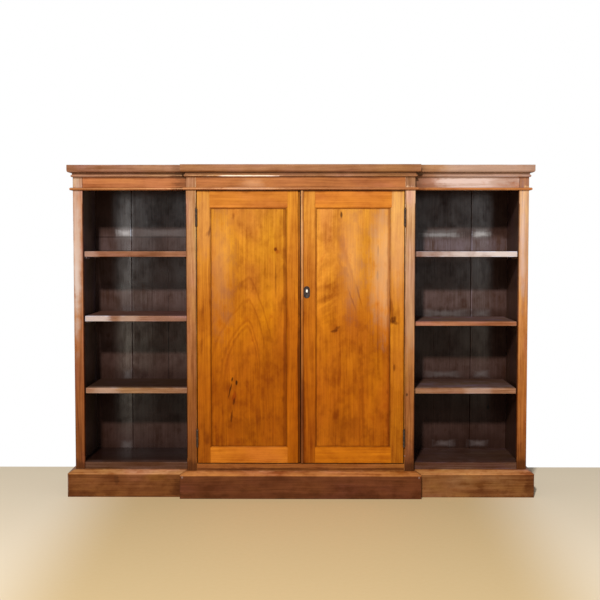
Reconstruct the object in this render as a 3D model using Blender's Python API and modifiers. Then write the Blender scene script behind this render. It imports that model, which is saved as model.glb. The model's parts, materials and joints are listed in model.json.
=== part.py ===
# Breakfront bookcase: an open wing with three adjustable shelves each side of a two-door cupboard.
# The front faces -Y, +Z is up, and the origin is under the middle of the plinth.

import math

import bmesh
import bpy
from mathutils import Vector

# Clearances and cutting allowances
SEAT_GAP = 0.0003
CUT_OVERRUN = 0.010
ARRIS = 0.001

# Overall sizes
HEIGHT = 1.311
CARCASE_WIDTH = 1.792
CENTRE_WIDTH = 0.896
CARCASE_DEPTH = 0.324
BREAK_DEPTH = 0.032

# Plinth
PLINTH_HEIGHT = 0.107
PLINTH_PROJECTION = 0.027
PLINTH_SEAT = 0.012
PLINTH_LEDGE = 0.002
PLINTH_BEVEL_RISE = 0.013
PLINTH_BACK_THICKNESS = 0.020

# Carcase boards
STILE_WIDTH = 0.038
STILE_THICKNESS = 0.021
PILASTER_WIDTH = 0.039
STOP_CHAMFER = 0.003
STOP_CHAMFER_BOTTOM = 0.1595
STOP_CHAMFER_TOP = 1.157
STOP_CHAMFER_RAMP = 0.006
CHAMFER_CUTTER_DEPTH = 0.012
END_PANEL_THICKNESS = 0.028
PARTITION_THICKNESS = 0.024
BOTTOM_BOARD_THICKNESS = 0.027
BOARD_SET_BACK = 0.002
TOP_BOARD_THICKNESS = 0.022
BACK_BOARD_THICKNESS = 0.012
BACK_BOARD_OUTER_WIDTH = 0.152
BACK_BOARD_JOINT = 0.0006

# Head: bead, frieze and cornice
BEAD_HEIGHT = 0.0105
BEAD_PROJECTION = 0.0115
FRIEZE_HEIGHT = 0.0415
FRIEZE_THICKNESS = 0.0200
NECK_BEAD_HEIGHT = 0.009
NECK_BEAD_PROJECTION = 0.007
NECK_RECESS_HEIGHT = 0.0085
CORNICE_ROUND = 0.008
CORNICE_FASCIA = 0.0215
CORNICE_PROJECTION = 0.020
DOOR_STOP_DROP = 0.022
DOOR_STOP_RISE = 0.022
DOOR_STOP_THICKNESS = 0.015

# Shelves
SHELF_THICKNESS = 0.0215
THIN_SHELF_THICKNESS = 0.0165
SHELF_SET_BACK = 0.012
SHELF_END_CLEARANCE = 0.003
SHELF_BACK_CLEARANCE = 0.0006
UPPER_SHELF_TOP = 0.9725
LEFT_MIDDLE_SHELF_TOP = 0.7165
RIGHT_MIDDLE_SHELF_TOP = 0.6945
LOWER_SHELF_TOP = 0.4295
CUPBOARD_SHELF_TOP = 0.700
CUPBOARD_SHELF_SET_BACK = 0.030
PEG_RADIUS = 0.004
PEG_REACH = 0.012
PEG_ROOT = 0.006
PEG_INSET = 0.045

# Doors
DOOR_THICKNESS = 0.021
DOOR_GAP = 0.0035
DOOR_HEAD_GAP = 0.003
MEETING_GAP = 0.0026
HINGE_STILE_WIDTH = 0.0545
LEFT_MEETING_STILE_WIDTH = 0.0542
RIGHT_MEETING_STILE_WIDTH = 0.0604
TOP_RAIL_WIDTH = 0.069
BOTTOM_RAIL_WIDTH = 0.0655
FRAME_CHAMFER = 0.005
PANEL_RECESS = 0.008
PANEL_THICKNESS = 0.008
GROOVE_DEPTH = 0.008
PANEL_EDGE_CLEARANCE = 0.0006
MEETING_REBATE_WIDTH = 0.0085
MEETING_REBATE_DEPTH = 0.009
ASTRAGAL_WIDTH = 0.0094
ASTRAGAL_HEIGHT = 0.0047

# Hinges
HINGE_HEIGHT = 0.068
KNUCKLE_RADIUS = 0.0045
KNUCKLE_GAP = 0.0003
PIN_RADIUS = 0.0018
PIN_BORE_RADIUS = 0.0021
FINIAL_RADIUS = 0.0021
MERGE_DISTANCE = 0.00002
LEAF_THICKNESS = 0.0012
LEAF_DEPTH = 0.0180
LEAF_START = 0.0052
NECK_START = 0.0034
LEAF_CLEARANCE = 0.00025

# Lock, escutcheon and keyhole cover
LOCK_LEVEL = 0.813
LOCK_WIDTH = 0.038
LOCK_HEIGHT = 0.050
LOCK_THICKNESS = 0.010
BOLT_HEIGHT = 0.008
BOLT_THICKNESS = 0.005
BOLT_LENGTH = 0.020
BOLT_THROW = 0.008
BOLT_RETREAT = 0.0005
BOLT_CHANNEL_LENGTH = 0.030
MORTISE_CLEARANCE = 0.0006
ESCUTCHEON_WIDTH = 0.025
ESCUTCHEON_HEIGHT = 0.047
ESCUTCHEON_THICKNESS = 0.002
ESCUTCHEON_OFFSET = 0.0230
STUD_RADIUS = 0.0015
STUD_HEAD_RADIUS = 0.0028
STUD_HEAD_THICKNESS = 0.0010
STUD_RISE = 0.016
COVER_THICKNESS = 0.0018
COVER_TOP_RADIUS = 0.0050
COVER_FOOT_RADIUS = 0.0075
COVER_DROP = 0.020
COVER_HOLE_RADIUS = 0.0018
KEYHOLE_RADIUS = 0.0026
KEYHOLE_SLOT_WIDTH = 0.0022
KEYHOLE_SLOT_DROP = 0.009

# Numbers of flats and of repeats
PEG_FLATS = 10
PIN_FLATS = 12
EDGE_STEPS = 2
BALL_STEPS = 4
QUARTER_STEPS = 5
NOSE_STEPS = 8
HALF_ROUND_STEPS = 10
KNUCKLE_COUNT = 5

# Angles in degrees
SHARP_ANGLE = 40
BALL_TOP_ANGLE = 60
BALL_FOOT_ANGLE = -45

# Planes worked out from the sizes above
TOTAL_DEPTH = CARCASE_DEPTH + BREAK_DEPTH + PLINTH_PROJECTION
BACK = TOTAL_DEPTH / 2
WING_FRONT = BACK - CARCASE_DEPTH
CENTRE_FRONT = WING_FRONT - BREAK_DEPTH
WING_SIDE = CARCASE_WIDTH / 2
CENTRE_SIDE = CENTRE_WIDTH / 2
STILE_INNER = WING_SIDE - STILE_WIDTH
END_PANEL_INNER = WING_SIDE - END_PANEL_THICKNESS
PILASTER_INNER = CENTRE_SIDE - PILASTER_WIDTH
PARTITION_INNER = CENTRE_SIDE - PARTITION_THICKNESS
BOTTOM_BOARD_TOP = PLINTH_HEIGHT + BOTTOM_BOARD_THICKNESS
TOP_BOARD_UNDERSIDE = HEIGHT - TOP_BOARD_THICKNESS
CORNICE_HEIGHT = CORNICE_FASCIA + CORNICE_ROUND + NECK_RECESS_HEIGHT + NECK_BEAD_HEIGHT
HEAD = HEIGHT - CORNICE_HEIGHT - FRIEZE_HEIGHT - BEAD_HEIGHT
BACK_BOARD_FRONT = BACK - BACK_BOARD_THICKNESS
DOOR_EDGE = PILASTER_INNER - DOOR_GAP
DOOR_BOTTOM = BOTTOM_BOARD_TOP + DOOR_GAP
DOOR_TOP = HEAD - DOOR_HEAD_GAP
DOOR_BACK = CENTRE_FRONT + DOOR_THICKNESS
MEETING_EDGE = MEETING_GAP / 2
TOP_RAIL_LOW = DOOR_TOP - TOP_RAIL_WIDTH
BOTTOM_RAIL_HIGH = DOOR_BOTTOM + BOTTOM_RAIL_WIDTH
HINGE_X = DOOR_EDGE + DOOR_GAP / 2
HINGE_Y = CENTRE_FRONT - KNUCKLE_RADIUS - SEAT_GAP
HINGE_LEVELS = {"top": TOP_RAIL_LOW - HINGE_HEIGHT / 2, "bottom": BOTTOM_RAIL_HIGH + HINGE_HEIGHT / 2}
SIDES = {"left": -1, "right": 1}

# Finishes: base colour, roughness and metallic value
FINISHES = {
    "outer_mahogany": ((0.46, 0.22, 0.10), 0.38, 0.0),
    "cornice_mahogany": ((0.36, 0.16, 0.08), 0.40, 0.0),
    "door_mahogany": ((0.60, 0.27, 0.07), 0.34, 0.0),
    "plinth_mahogany": ((0.22, 0.08, 0.035), 0.40, 0.0),
    "shelf_edge_mahogany": ((0.40, 0.20, 0.11), 0.45, 0.0),
    "inside_stained_pine": ((0.10, 0.055, 0.04), 0.60, 0.0),
    "dark_steel": ((0.07, 0.06, 0.055), 0.45, 0.9),
    "dark_brass": ((0.16, 0.11, 0.06), 0.40, 0.9),
}


def clear_scene():
    for obj in list(bpy.data.objects):
        bpy.data.objects.remove(obj, do_unlink=True)


def new_collection(name):
    made = bpy.data.collections.new(name)
    bpy.context.scene.collection.children.link(made)
    return made


def new_material(name, finish):
    colour, roughness, metallic = FINISHES[finish]
    made = bpy.data.materials.new(name)
    made.use_nodes = True
    shader = made.node_tree.nodes["Principled BSDF"]
    shader.inputs["Base Color"].default_value = (*colour, 1.0)
    shader.inputs["Roughness"].default_value = roughness
    shader.inputs["Metallic"].default_value = metallic
    made.diffuse_color = (*colour, 1.0)
    return made


def centre_of(bm):
    low = Vector(min(v.co[i] for v in bm.verts) for i in range(3))
    high = Vector(max(v.co[i] for v in bm.verts) for i in range(3))
    return (low + high) / 2


def new_object(name, bm, collection, parent=None, origin=None):
    """A mesh built at its place becomes an object whose origin is the point given, or its middle."""
    origin = Vector(origin) if origin else centre_of(bm)
    bmesh.ops.recalc_face_normals(bm, faces=bm.faces)
    bmesh.ops.translate(bm, verts=bm.verts, vec=-origin)
    mesh = bpy.data.meshes.new(name)
    bm.to_mesh(mesh)
    bm.free()
    made = bpy.data.objects.new(name, mesh)
    collection.objects.link(made)
    made.location = origin
    if parent:
        made.parent = parent
        made.location = origin - parent.location
    return made


def new_part(name, bm, finish, parent=None, origin=None):
    made = new_object(name, bm, PARTS, parent, origin)
    made.data.materials.append(new_material(name + "_finish", finish))
    return made


def new_cutter(name, bm):
    made = new_object(name, bm, CUTTERS)
    made.hide_render = True
    made.display_type = "WIRE"
    return made


def apply_boolean(part, cutter, operation="DIFFERENCE"):
    modifier = part.modifiers.new(cutter.name, "BOOLEAN")
    modifier.operation = operation
    modifier.solver = "EXACT"
    modifier.object = cutter


def ease_edges(part, width=ARRIS):
    modifier = part.modifiers.new("eased edges", "BEVEL")
    modifier.width = width
    modifier.segments = 1
    modifier.limit_method = "ANGLE"


def shade_round(part):
    part.data.shade_smooth()
    part.data.set_sharp_from_angle(angle=math.radians(SHARP_ANGLE))


def box_mesh(low, high, bm=None):
    """A box between two corners, added to the mesh given or in one of its own."""
    bm = bm or bmesh.new()
    low, high = Vector(low), Vector(high)
    size = high - low
    made = bmesh.ops.create_cube(bm, size=1)["verts"]
    bmesh.ops.scale(bm, verts=made, vec=size)
    bmesh.ops.translate(bm, verts=made, vec=(low + high) / 2)
    return bm


def cylinder_mesh(centre, axis, radius, length, flats, bm=None):
    bm = bm or bmesh.new()
    made = bmesh.ops.create_cone(
        bm, cap_ends=True, segments=flats, radius1=radius, radius2=radius, depth=length
    )["verts"]
    turn = Vector((0, 0, 1)).rotation_difference(Vector(axis)).to_matrix()
    bmesh.ops.rotate(bm, verts=made, matrix=turn)
    bmesh.ops.translate(bm, verts=made, vec=centre)
    return bm


def prism_mesh(outline, axis, low, high):
    """An outline in the plane across the axis, extruded along it: (x, y), (x, z) or (y, z)."""
    place = {
        "x": lambda p, along: (along, p[0], p[1]),
        "y": lambda p, along: (p[0], along, p[1]),
        "z": lambda p, along: (p[0], p[1], along),
    }[axis]
    bm = bmesh.new()
    face = bm.faces.new([bm.verts.new(place(p, low)) for p in outline])
    made = bmesh.ops.extrude_face_region(bm, geom=[face])["geom"]
    verts = [item for item in made if isinstance(item, bmesh.types.BMVert)]
    bmesh.ops.translate(bm, verts=verts, vec=Vector(place((0, 0), high - low)))
    return bm


def arc(centre, radius, start, end, steps):
    """Points on an arc, with the angles in degrees."""
    turn = math.radians(end - start) / steps
    angles = [math.radians(start) + turn * i for i in range(steps + 1)]
    return [(centre[0] + radius * math.cos(a), centre[1] + radius * math.sin(a)) for a in angles]


def moulding_mesh(section, path, start_turn, end_turn):
    """A section (out, z) swept along corners in plan with mitres. Out is the right-hand side of the way.
    A turn of -1 at an end is half of an inside mitre, and 0 is a square end."""
    points = [Vector(p) for p in path]
    ways = [(b - a).normalized() for a, b in zip(points, points[1:])]
    outs = [Vector((way.y, -way.x)) for way in ways]

    def ring(i):
        if i == 0:
            shift = outs[0] - ways[0] * start_turn
            slack = ways[0] * SEAT_GAP
        elif i == len(points) - 1:
            shift = outs[-1] + ways[-1] * end_turn
            slack = -ways[-1] * SEAT_GAP
        else:
            shift = outs[i - 1] + outs[i]
            slack = Vector((0, 0))
        places = [points[i] + slack + shift * out for out, _ in section]
        return [Vector((place.x, place.y, z)) for place, (_, z) in zip(places, section)]

    bm = bmesh.new()
    verts = [bm.verts.new(co) for co in ring(0)]
    face = bm.faces.new(verts)
    for i in range(1, len(points)):
        before, after = ring(i - 1), ring(i)
        made = bmesh.ops.extrude_face_region(bm, geom=[face])["geom"]
        for vert in (item for item in made if isinstance(item, bmesh.types.BMVert)):
            nearest = min(range(len(before)), key=lambda k: (before[k] - vert.co).length)
            vert.co = after[nearest]
        if i > 1 and face.is_valid:
            bmesh.ops.delete(bm, geom=[face], context="FACES_ONLY")
        face = next(item for item in made if isinstance(item, bmesh.types.BMFace))
    return bm


def wing_path(side):
    """The way round a wing's outside, from the back on the left, or to the back on the right."""
    way = [
        (side * WING_SIDE, BACK),
        (side * WING_SIDE, WING_FRONT),
        (side * CENTRE_SIDE, WING_FRONT),
    ]
    return way if side < 0 else way[::-1]


def centre_path():
    return [
        (-CENTRE_SIDE, WING_FRONT),
        (-CENTRE_SIDE, CENTRE_FRONT),
        (CENTRE_SIDE, CENTRE_FRONT),
        (CENTRE_SIDE, WING_FRONT),
    ]


def moulding_set(name, section, finish):
    """The left, centre and right lengths of one moulding, mitred at the corners and at the break."""
    for label, side in SIDES.items():
        ends = (0, -1) if side < 0 else (-1, 0)
        shade_round(new_part(f"{name}_{label}", moulding_mesh(section, wing_path(side), *ends), finish))
    shade_round(new_part(f"{name}_centre", moulding_mesh(section, centre_path(), -1, -1), finish))


def plinth_section():
    bevel_foot = PLINTH_HEIGHT - PLINTH_BEVEL_RISE
    return [
        (-PLINTH_SEAT, 0),
        (PLINTH_PROJECTION, 0),
        (PLINTH_PROJECTION, bevel_foot - ARRIS),
        (PLINTH_PROJECTION - ARRIS, bevel_foot),
        (PLINTH_LEDGE, PLINTH_HEIGHT),
        (-PLINTH_SEAT, PLINTH_HEIGHT),
    ]


def bead_section():
    radius = BEAD_HEIGHT / 2
    nose = arc((BEAD_PROJECTION - radius, HEAD + radius), radius, 90, -90, NOSE_STEPS)
    return [(SEAT_GAP, HEAD + BEAD_HEIGHT), *nose, (SEAT_GAP, HEAD)]


def cornice_section():
    fascia_foot = HEIGHT - CORNICE_FASCIA
    soffit = fascia_foot - CORNICE_ROUND
    neck_radius = NECK_BEAD_HEIGHT / 2
    neck_out = NECK_BEAD_PROJECTION - neck_radius
    neck_top = soffit - NECK_RECESS_HEIGHT
    shoulder = arc((CORNICE_PROJECTION - ARRIS, HEIGHT - ARRIS), ARRIS, 90, 0, EDGE_STEPS)
    round_out = CORNICE_PROJECTION - CORNICE_ROUND
    under = arc((round_out, fascia_foot), CORNICE_ROUND, 0, -90, QUARTER_STEPS)
    neck = arc((neck_out, neck_top - neck_radius), neck_radius, 90, -90, NOSE_STEPS)
    return [
        (SEAT_GAP, HEIGHT),
        *shoulder,
        *under,
        (neck_out, soffit),
        *neck,
        (SEAT_GAP, neck_top - NECK_BEAD_HEIGHT),
    ]


def make_plinth():
    moulding_set("plinth", plinth_section(), "plinth_mahogany")
    reach = WING_SIDE - PLINTH_SEAT - SEAT_GAP
    low = (-reach, BACK - PLINTH_BACK_THICKNESS, 0)
    new_part("plinth_back_rail", box_mesh(low, (reach, BACK, PLINTH_HEIGHT)), "inside_stained_pine")


def make_bottom_boards():
    floor = PLINTH_HEIGHT + SEAT_GAP
    back = BACK_BOARD_FRONT - SEAT_GAP
    front = WING_FRONT + BOARD_SET_BACK
    notch = WING_FRONT + STILE_THICKNESS + SEAT_GAP
    for label, side in SIDES.items():
        inner = CENTRE_SIDE + SEAT_GAP
        outline = [
            (side * inner, front),
            (side * (STILE_INNER - SEAT_GAP), front),
            (side * (STILE_INNER - SEAT_GAP), notch),
            (side * (END_PANEL_INNER - SEAT_GAP), notch),
            (side * (END_PANEL_INNER - SEAT_GAP), back),
            (side * inner, back),
        ]
        board = prism_mesh(outline, "z", floor, BOTTOM_BOARD_TOP)
        new_part(f"bottom_board_{label}", board, "shelf_edge_mahogany")
    front = CENTRE_FRONT + BOARD_SET_BACK
    notch = DOOR_BACK + SEAT_GAP
    narrow = PILASTER_INNER - SEAT_GAP
    wide = PARTITION_INNER - SEAT_GAP
    outline = [
        (-narrow, front),
        (narrow, front),
        (narrow, notch),
        (wide, notch),
        (wide, back),
        (-wide, back),
        (-wide, notch),
        (-narrow, notch),
    ]
    board = prism_mesh(outline, "z", floor, BOTTOM_BOARD_TOP)
    new_part("bottom_board_centre", board, "outer_mahogany")


def make_top_board():
    outline = [
        (-WING_SIDE, BACK),
        (-WING_SIDE, WING_FRONT),
        (-CENTRE_SIDE, WING_FRONT),
        (-CENTRE_SIDE, CENTRE_FRONT),
        (CENTRE_SIDE, CENTRE_FRONT),
        (CENTRE_SIDE, WING_FRONT),
        (WING_SIDE, WING_FRONT),
        (WING_SIDE, BACK),
    ]
    new_part("top_board", prism_mesh(outline, "z", TOP_BOARD_UNDERSIDE, HEIGHT), "cornice_mahogany")


def stop_chamfer_mesh(corner_x, corner_y, across, bm):
    """A slab that cuts one front arris. Its ends slope, so the chamfer runs out in short ramps."""
    normal = Vector((across, -1, 0)).normalized()
    along = Vector((-normal.y, normal.x, 0))
    depth = STOP_CHAMFER / math.sqrt(2)
    face = Vector((corner_x, corner_y, 0)) - normal * depth
    half_width = along * CHAMFER_CUTTER_DEPTH
    flare = STOP_CHAMFER_RAMP * CHAMFER_CUTTER_DEPTH / depth
    verts = []
    for out, extra in ((0, 0), (CHAMFER_CUTTER_DEPTH, flare)):
        for level in (STOP_CHAMFER_BOTTOM - extra, STOP_CHAMFER_TOP + extra):
            for edge in (-1, 1):
                verts.append(face + half_width * edge + normal * out + Vector((0, 0, level)))
    bmesh.ops.convex_hull(bm, input=[bm.verts.new(co) for co in verts])


def make_uprights():
    """The wing stiles and the centre pilasters, whose front arrises are stop-chamfered."""
    floor = PLINTH_HEIGHT + SEAT_GAP
    head = TOP_BOARD_UNDERSIDE - SEAT_GAP
    for label, side in SIDES.items():
        edges = sorted((side * WING_SIDE, side * STILE_INNER))
        low = (edges[0], WING_FRONT, floor)
        high = (edges[1], WING_FRONT + STILE_THICKNESS, head)
        stile = new_part(f"outer_stile_{label}", box_mesh(low, high), "outer_mahogany")
        ease_edges(stile)
        bm = bmesh.new()
        stop_chamfer_mesh(side * STILE_INNER, WING_FRONT, -side, bm)
        apply_boolean(stile, new_cutter(f"stile_chamfer_{label}", bm))

        edges = sorted((side * CENTRE_SIDE, side * PILASTER_INNER))
        low = (edges[0], CENTRE_FRONT, floor)
        high = (edges[1], DOOR_BACK, head)
        pilaster = new_part(f"centre_pilaster_{label}", box_mesh(low, high), "outer_mahogany")
        ease_edges(pilaster)
        for place, corner, across in (("outer", CENTRE_SIDE, side), ("inner", PILASTER_INNER, -side)):
            bm = bmesh.new()
            stop_chamfer_mesh(side * corner, CENTRE_FRONT, across, bm)
            apply_boolean(pilaster, new_cutter(f"pilaster_chamfer_{place}_{label}", bm))


def wing_shelves(side):
    """Top level and thickness of each shelf in one wing."""
    if side < 0:
        middle = (LEFT_MIDDLE_SHELF_TOP, SHELF_THICKNESS)
    else:
        middle = (RIGHT_MIDDLE_SHELF_TOP, THIN_SHELF_THICKNESS)
    return {
        "upper": (UPPER_SHELF_TOP, SHELF_THICKNESS),
        "middle": middle,
        "lower": (LOWER_SHELF_TOP, SHELF_THICKNESS),
    }


def peg_depths(front):
    return (front + PEG_INSET, BACK_BOARD_FRONT - PEG_INSET)


def add_pegs(bm, wall, reach, shelf_top, thickness, front):
    """Two pegs under one end of a shelf: from inside the wall to the reach given, both as x."""
    level = shelf_top - thickness - SEAT_GAP - PEG_RADIUS
    for y in peg_depths(front):
        middle = ((wall + reach) / 2, y, level)
        cylinder_mesh(middle, (1, 0, 0), PEG_RADIUS, abs(reach - wall), PEG_FLATS, bm)


def make_sides():
    """The end panels and the partitions, each with the pegs that carry the shelves beside it."""
    floor = PLINTH_HEIGHT + SEAT_GAP
    head = TOP_BOARD_UNDERSIDE - SEAT_GAP
    shelf_front = WING_FRONT + SHELF_SET_BACK
    for label, side in SIDES.items():
        edges = sorted((side * WING_SIDE, side * END_PANEL_INNER))
        low = (edges[0], WING_FRONT + STILE_THICKNESS + SEAT_GAP, floor)
        panel = new_part(f"end_panel_{label}", box_mesh(low, (edges[1], BACK, head)), "outer_mahogany")
        ease_edges(panel)
        outer_pegs, inner_pegs = bmesh.new(), bmesh.new()
        outer_reach = STILE_INNER - SHELF_END_CLEARANCE - PEG_REACH
        inner_reach = CENTRE_SIDE + SHELF_END_CLEARANCE + PEG_REACH
        for top, thickness in wing_shelves(side).values():
            root = END_PANEL_INNER + PEG_ROOT
            add_pegs(outer_pegs, side * root, side * outer_reach, top, thickness, shelf_front)
            root = CENTRE_SIDE - PEG_ROOT
            add_pegs(inner_pegs, side * root, side * inner_reach, top, thickness, shelf_front)
        apply_boolean(panel, new_cutter(f"end_pegs_{label}", outer_pegs), "UNION")

        edges = sorted((side * CENTRE_SIDE, side * PARTITION_INNER))
        low = (edges[0], DOOR_BACK + SEAT_GAP, floor)
        high = (edges[1], BACK, head)
        partition = new_part(f"partition_{label}", box_mesh(low, high), "inside_stained_pine")
        apply_boolean(partition, new_cutter(f"wing_pegs_{label}", inner_pegs), "UNION")
        cupboard_pegs = bmesh.new()
        root = PARTITION_INNER + PEG_ROOT
        reach = PARTITION_INNER - SHELF_END_CLEARANCE - PEG_REACH
        front = DOOR_BACK + CUPBOARD_SHELF_SET_BACK
        shelf = (CUPBOARD_SHELF_TOP, SHELF_THICKNESS)
        add_pegs(cupboard_pegs, side * root, side * reach, *shelf, front)
        apply_boolean(partition, new_cutter(f"cupboard_pegs_{label}", cupboard_pegs), "UNION")


def make_back_boards():
    """Upright boards across the back: two behind each wing, and one behind the cupboard."""
    floor = PLINTH_HEIGHT + SEAT_GAP
    head = TOP_BOARD_UNDERSIDE - SEAT_GAP
    for label, side in SIDES.items():
        outer = END_PANEL_INNER - SEAT_GAP
        joint = END_PANEL_INNER - BACK_BOARD_OUTER_WIDTH
        inner = CENTRE_SIDE + SEAT_GAP
        for place, a, b in (
            ("outer", outer, joint + BACK_BOARD_JOINT / 2),
            ("inner", joint - BACK_BOARD_JOINT / 2, inner),
        ):
            edges = sorted((side * a, side * b))
            board = box_mesh((edges[0], BACK_BOARD_FRONT, floor), (edges[1], BACK, head))
            new_part(f"back_board_{label}_{place}", board, "inside_stained_pine")
    reach = PARTITION_INNER - SEAT_GAP
    board = box_mesh((-reach, BACK_BOARD_FRONT, floor), (reach, BACK, head))
    new_part("back_board_centre", board, "inside_stained_pine")


def make_head():
    """The frieze boards between the uprights, the bead under them and the cornice round the top."""
    head = TOP_BOARD_UNDERSIDE - SEAT_GAP
    for label, side in SIDES.items():
        edges = sorted((side * (STILE_INNER - SEAT_GAP), side * (CENTRE_SIDE + SEAT_GAP)))
        low = (edges[0], WING_FRONT, HEAD)
        high = (edges[1], WING_FRONT + FRIEZE_THICKNESS, head)
        ease_edges(new_part(f"frieze_{label}", box_mesh(low, high), "outer_mahogany"))
    back = CENTRE_FRONT + FRIEZE_THICKNESS
    stop_front = DOOR_BACK + SEAT_GAP
    stop_back = stop_front + DOOR_STOP_THICKNESS
    section = [
        (CENTRE_FRONT, HEAD),
        (stop_front, HEAD),
        (stop_front, HEAD - DOOR_STOP_DROP),
        (stop_back, HEAD - DOOR_STOP_DROP),
        (stop_back, HEAD + DOOR_STOP_RISE),
        (back, HEAD + DOOR_STOP_RISE),
        (back, head),
        (CENTRE_FRONT, head),
    ]
    reach = PILASTER_INNER - SEAT_GAP
    new_part("frieze_centre", prism_mesh(section, "x", -reach, reach), "outer_mahogany")
    moulding_set("bead", bead_section(), "outer_mahogany")
    moulding_set("cornice", cornice_section(), "cornice_mahogany")


def make_shelves():
    back = BACK_BOARD_FRONT - SHELF_BACK_CLEARANCE
    for label, side in SIDES.items():
        ends = sorted(
            (side * (STILE_INNER - SHELF_END_CLEARANCE), side * (CENTRE_SIDE + SHELF_END_CLEARANCE))
        )
        for place, (top, thickness) in wing_shelves(side).items():
            low = (ends[0], WING_FRONT + SHELF_SET_BACK, top - thickness)
            shelf = box_mesh(low, (ends[1], back, top))
            ease_edges(new_part(f"shelf_{label}_{place}", shelf, "shelf_edge_mahogany"))
    reach = PARTITION_INNER - SHELF_END_CLEARANCE
    front = DOOR_BACK + CUPBOARD_SHELF_SET_BACK
    low = (-reach, front, CUPBOARD_SHELF_TOP - SHELF_THICKNESS)
    shelf = box_mesh(low, (reach, back, CUPBOARD_SHELF_TOP))
    ease_edges(new_part("cupboard_shelf", shelf, "inside_stained_pine"))


def frame_section(outer, inner, rebated=False):
    """Section across a door stile or rail as (across, y): chamfered and grooved on its inner edge."""
    way = 1 if inner > outer else -1
    front = CENTRE_FRONT
    groove_front = front + PANEL_RECESS - SEAT_GAP
    groove_back = front + PANEL_RECESS + PANEL_THICKNESS + SEAT_GAP
    groove_end = inner - way * GROOVE_DEPTH
    if rebated:
        step = outer + way * MEETING_REBATE_WIDTH
        floor = front + MEETING_REBATE_DEPTH
        outer_edge = [(outer, floor), (step, floor), (step, front + ARRIS), (step + way * ARRIS, front)]
    else:
        outer_edge = [(outer, front + ARRIS), (outer + way * ARRIS, front)]
    return [
        (outer, DOOR_BACK),
        *outer_edge,
        (inner - way * FRAME_CHAMFER, front),
        (inner, front + FRAME_CHAMFER),
        (inner, groove_front),
        (groove_end, groove_front),
        (groove_end, groove_back),
        (inner, groove_back),
        (inner, DOOR_BACK),
    ]


def cope_mesh(edge, way, low, high):
    """The stile's own edge as a cutter, so a rail's end fits over its chamfer and into its groove."""
    front = CENTRE_FRONT
    shoulder = edge + way * SEAT_GAP
    tenon_end = edge - way * (GROOVE_DEPTH - PANEL_EDGE_CLEARANCE)
    far = edge - way * (GROOVE_DEPTH + 2 * CUT_OVERRUN)
    outline = [
        (far, front - CUT_OVERRUN),
        (shoulder - way * FRAME_CHAMFER, front - CUT_OVERRUN),
        (shoulder - way * FRAME_CHAMFER, front),
        (shoulder, front + FRAME_CHAMFER),
        (shoulder, front + PANEL_RECESS),
        (tenon_end, front + PANEL_RECESS),
        (tenon_end, front + PANEL_RECESS + PANEL_THICKNESS),
        (shoulder, front + PANEL_RECESS + PANEL_THICKNESS),
        (shoulder, DOOR_BACK + CUT_OVERRUN),
        (far, DOOR_BACK + CUT_OVERRUN),
    ]
    return prism_mesh(outline, "z", low - CUT_OVERRUN, high + CUT_OVERRUN)


def door_edges(label):
    """The x of a door's hinge edge, both inner stile edges and meeting edge, from the hinge inwards."""
    side = SIDES[label]
    meeting_width = LEFT_MEETING_STILE_WIDTH if side < 0 else RIGHT_MEETING_STILE_WIDTH
    return {
        "hinge": side * DOOR_EDGE,
        "hinge_inner": side * (DOOR_EDGE - HINGE_STILE_WIDTH),
        "meeting_inner": side * (MEETING_EDGE + meeting_width),
        "meeting": side * MEETING_EDGE,
    }


def make_door(label, pivot):
    """Two stiles, two rails coped over them and a flat panel held in their grooves."""
    side = SIDES[label]
    x = door_edges(label)
    for place, outer, inner in (
        ("hinge", x["hinge"], x["hinge_inner"]),
        ("meeting", x["meeting"], x["meeting_inner"]),
    ):
        section = frame_section(outer, inner, rebated=side < 0 and place == "meeting")
        stile = prism_mesh(section, "z", DOOR_BOTTOM, DOOR_TOP)
        new_part(f"{label}_door_{place}_stile", stile, "door_mahogany", pivot)
    edges = sorted((x["hinge_inner"], x["meeting_inner"]))
    blank = (edges[0] - GROOVE_DEPTH, edges[1] + GROOVE_DEPTH)
    for place, outer, inner in (
        ("top", DOOR_TOP, TOP_RAIL_LOW),
        ("bottom", DOOR_BOTTOM, BOTTOM_RAIL_HIGH),
    ):
        section = [(y, z) for z, y in frame_section(outer, inner)]
        rail = new_part(
            f"{label}_door_{place}_rail", prism_mesh(section, "x", *blank), "door_mahogany", pivot
        )
        levels = sorted((outer, inner))
        for name, edge, way in (("left", edges[0], 1), ("right", edges[1], -1)):
            cope = cope_mesh(edge, way, *levels)
            apply_boolean(rail, new_cutter(f"cope_{label}_{place}_{name}", cope))
    hidden = GROOVE_DEPTH - PANEL_EDGE_CLEARANCE
    low = (edges[0] - hidden, CENTRE_FRONT + PANEL_RECESS, BOTTOM_RAIL_HIGH - hidden)
    high = (
        edges[1] + hidden,
        CENTRE_FRONT + PANEL_RECESS + PANEL_THICKNESS,
        TOP_RAIL_LOW + hidden,
    )
    new_part(f"{label}_door_panel", box_mesh(low, high), "door_mahogany", pivot)


def make_astragal(pivot):
    """The half-round bead along the right door's meeting edge."""
    left = MEETING_EDGE
    radius = ASTRAGAL_WIDTH / 2
    flat = CENTRE_FRONT - SEAT_GAP
    nose = arc((left + radius, flat), 1, 180, 360, NOSE_STEPS)
    middle = left + radius
    rise = ASTRAGAL_HEIGHT - SEAT_GAP
    outline = [(middle + (px - middle) * radius, flat + (py - flat) * rise) for px, py in nose]
    bead = prism_mesh(outline, "z", DOOR_BOTTOM, DOOR_TOP)
    shade_round(new_part("astragal_bead", bead, "door_mahogany", pivot))


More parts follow.
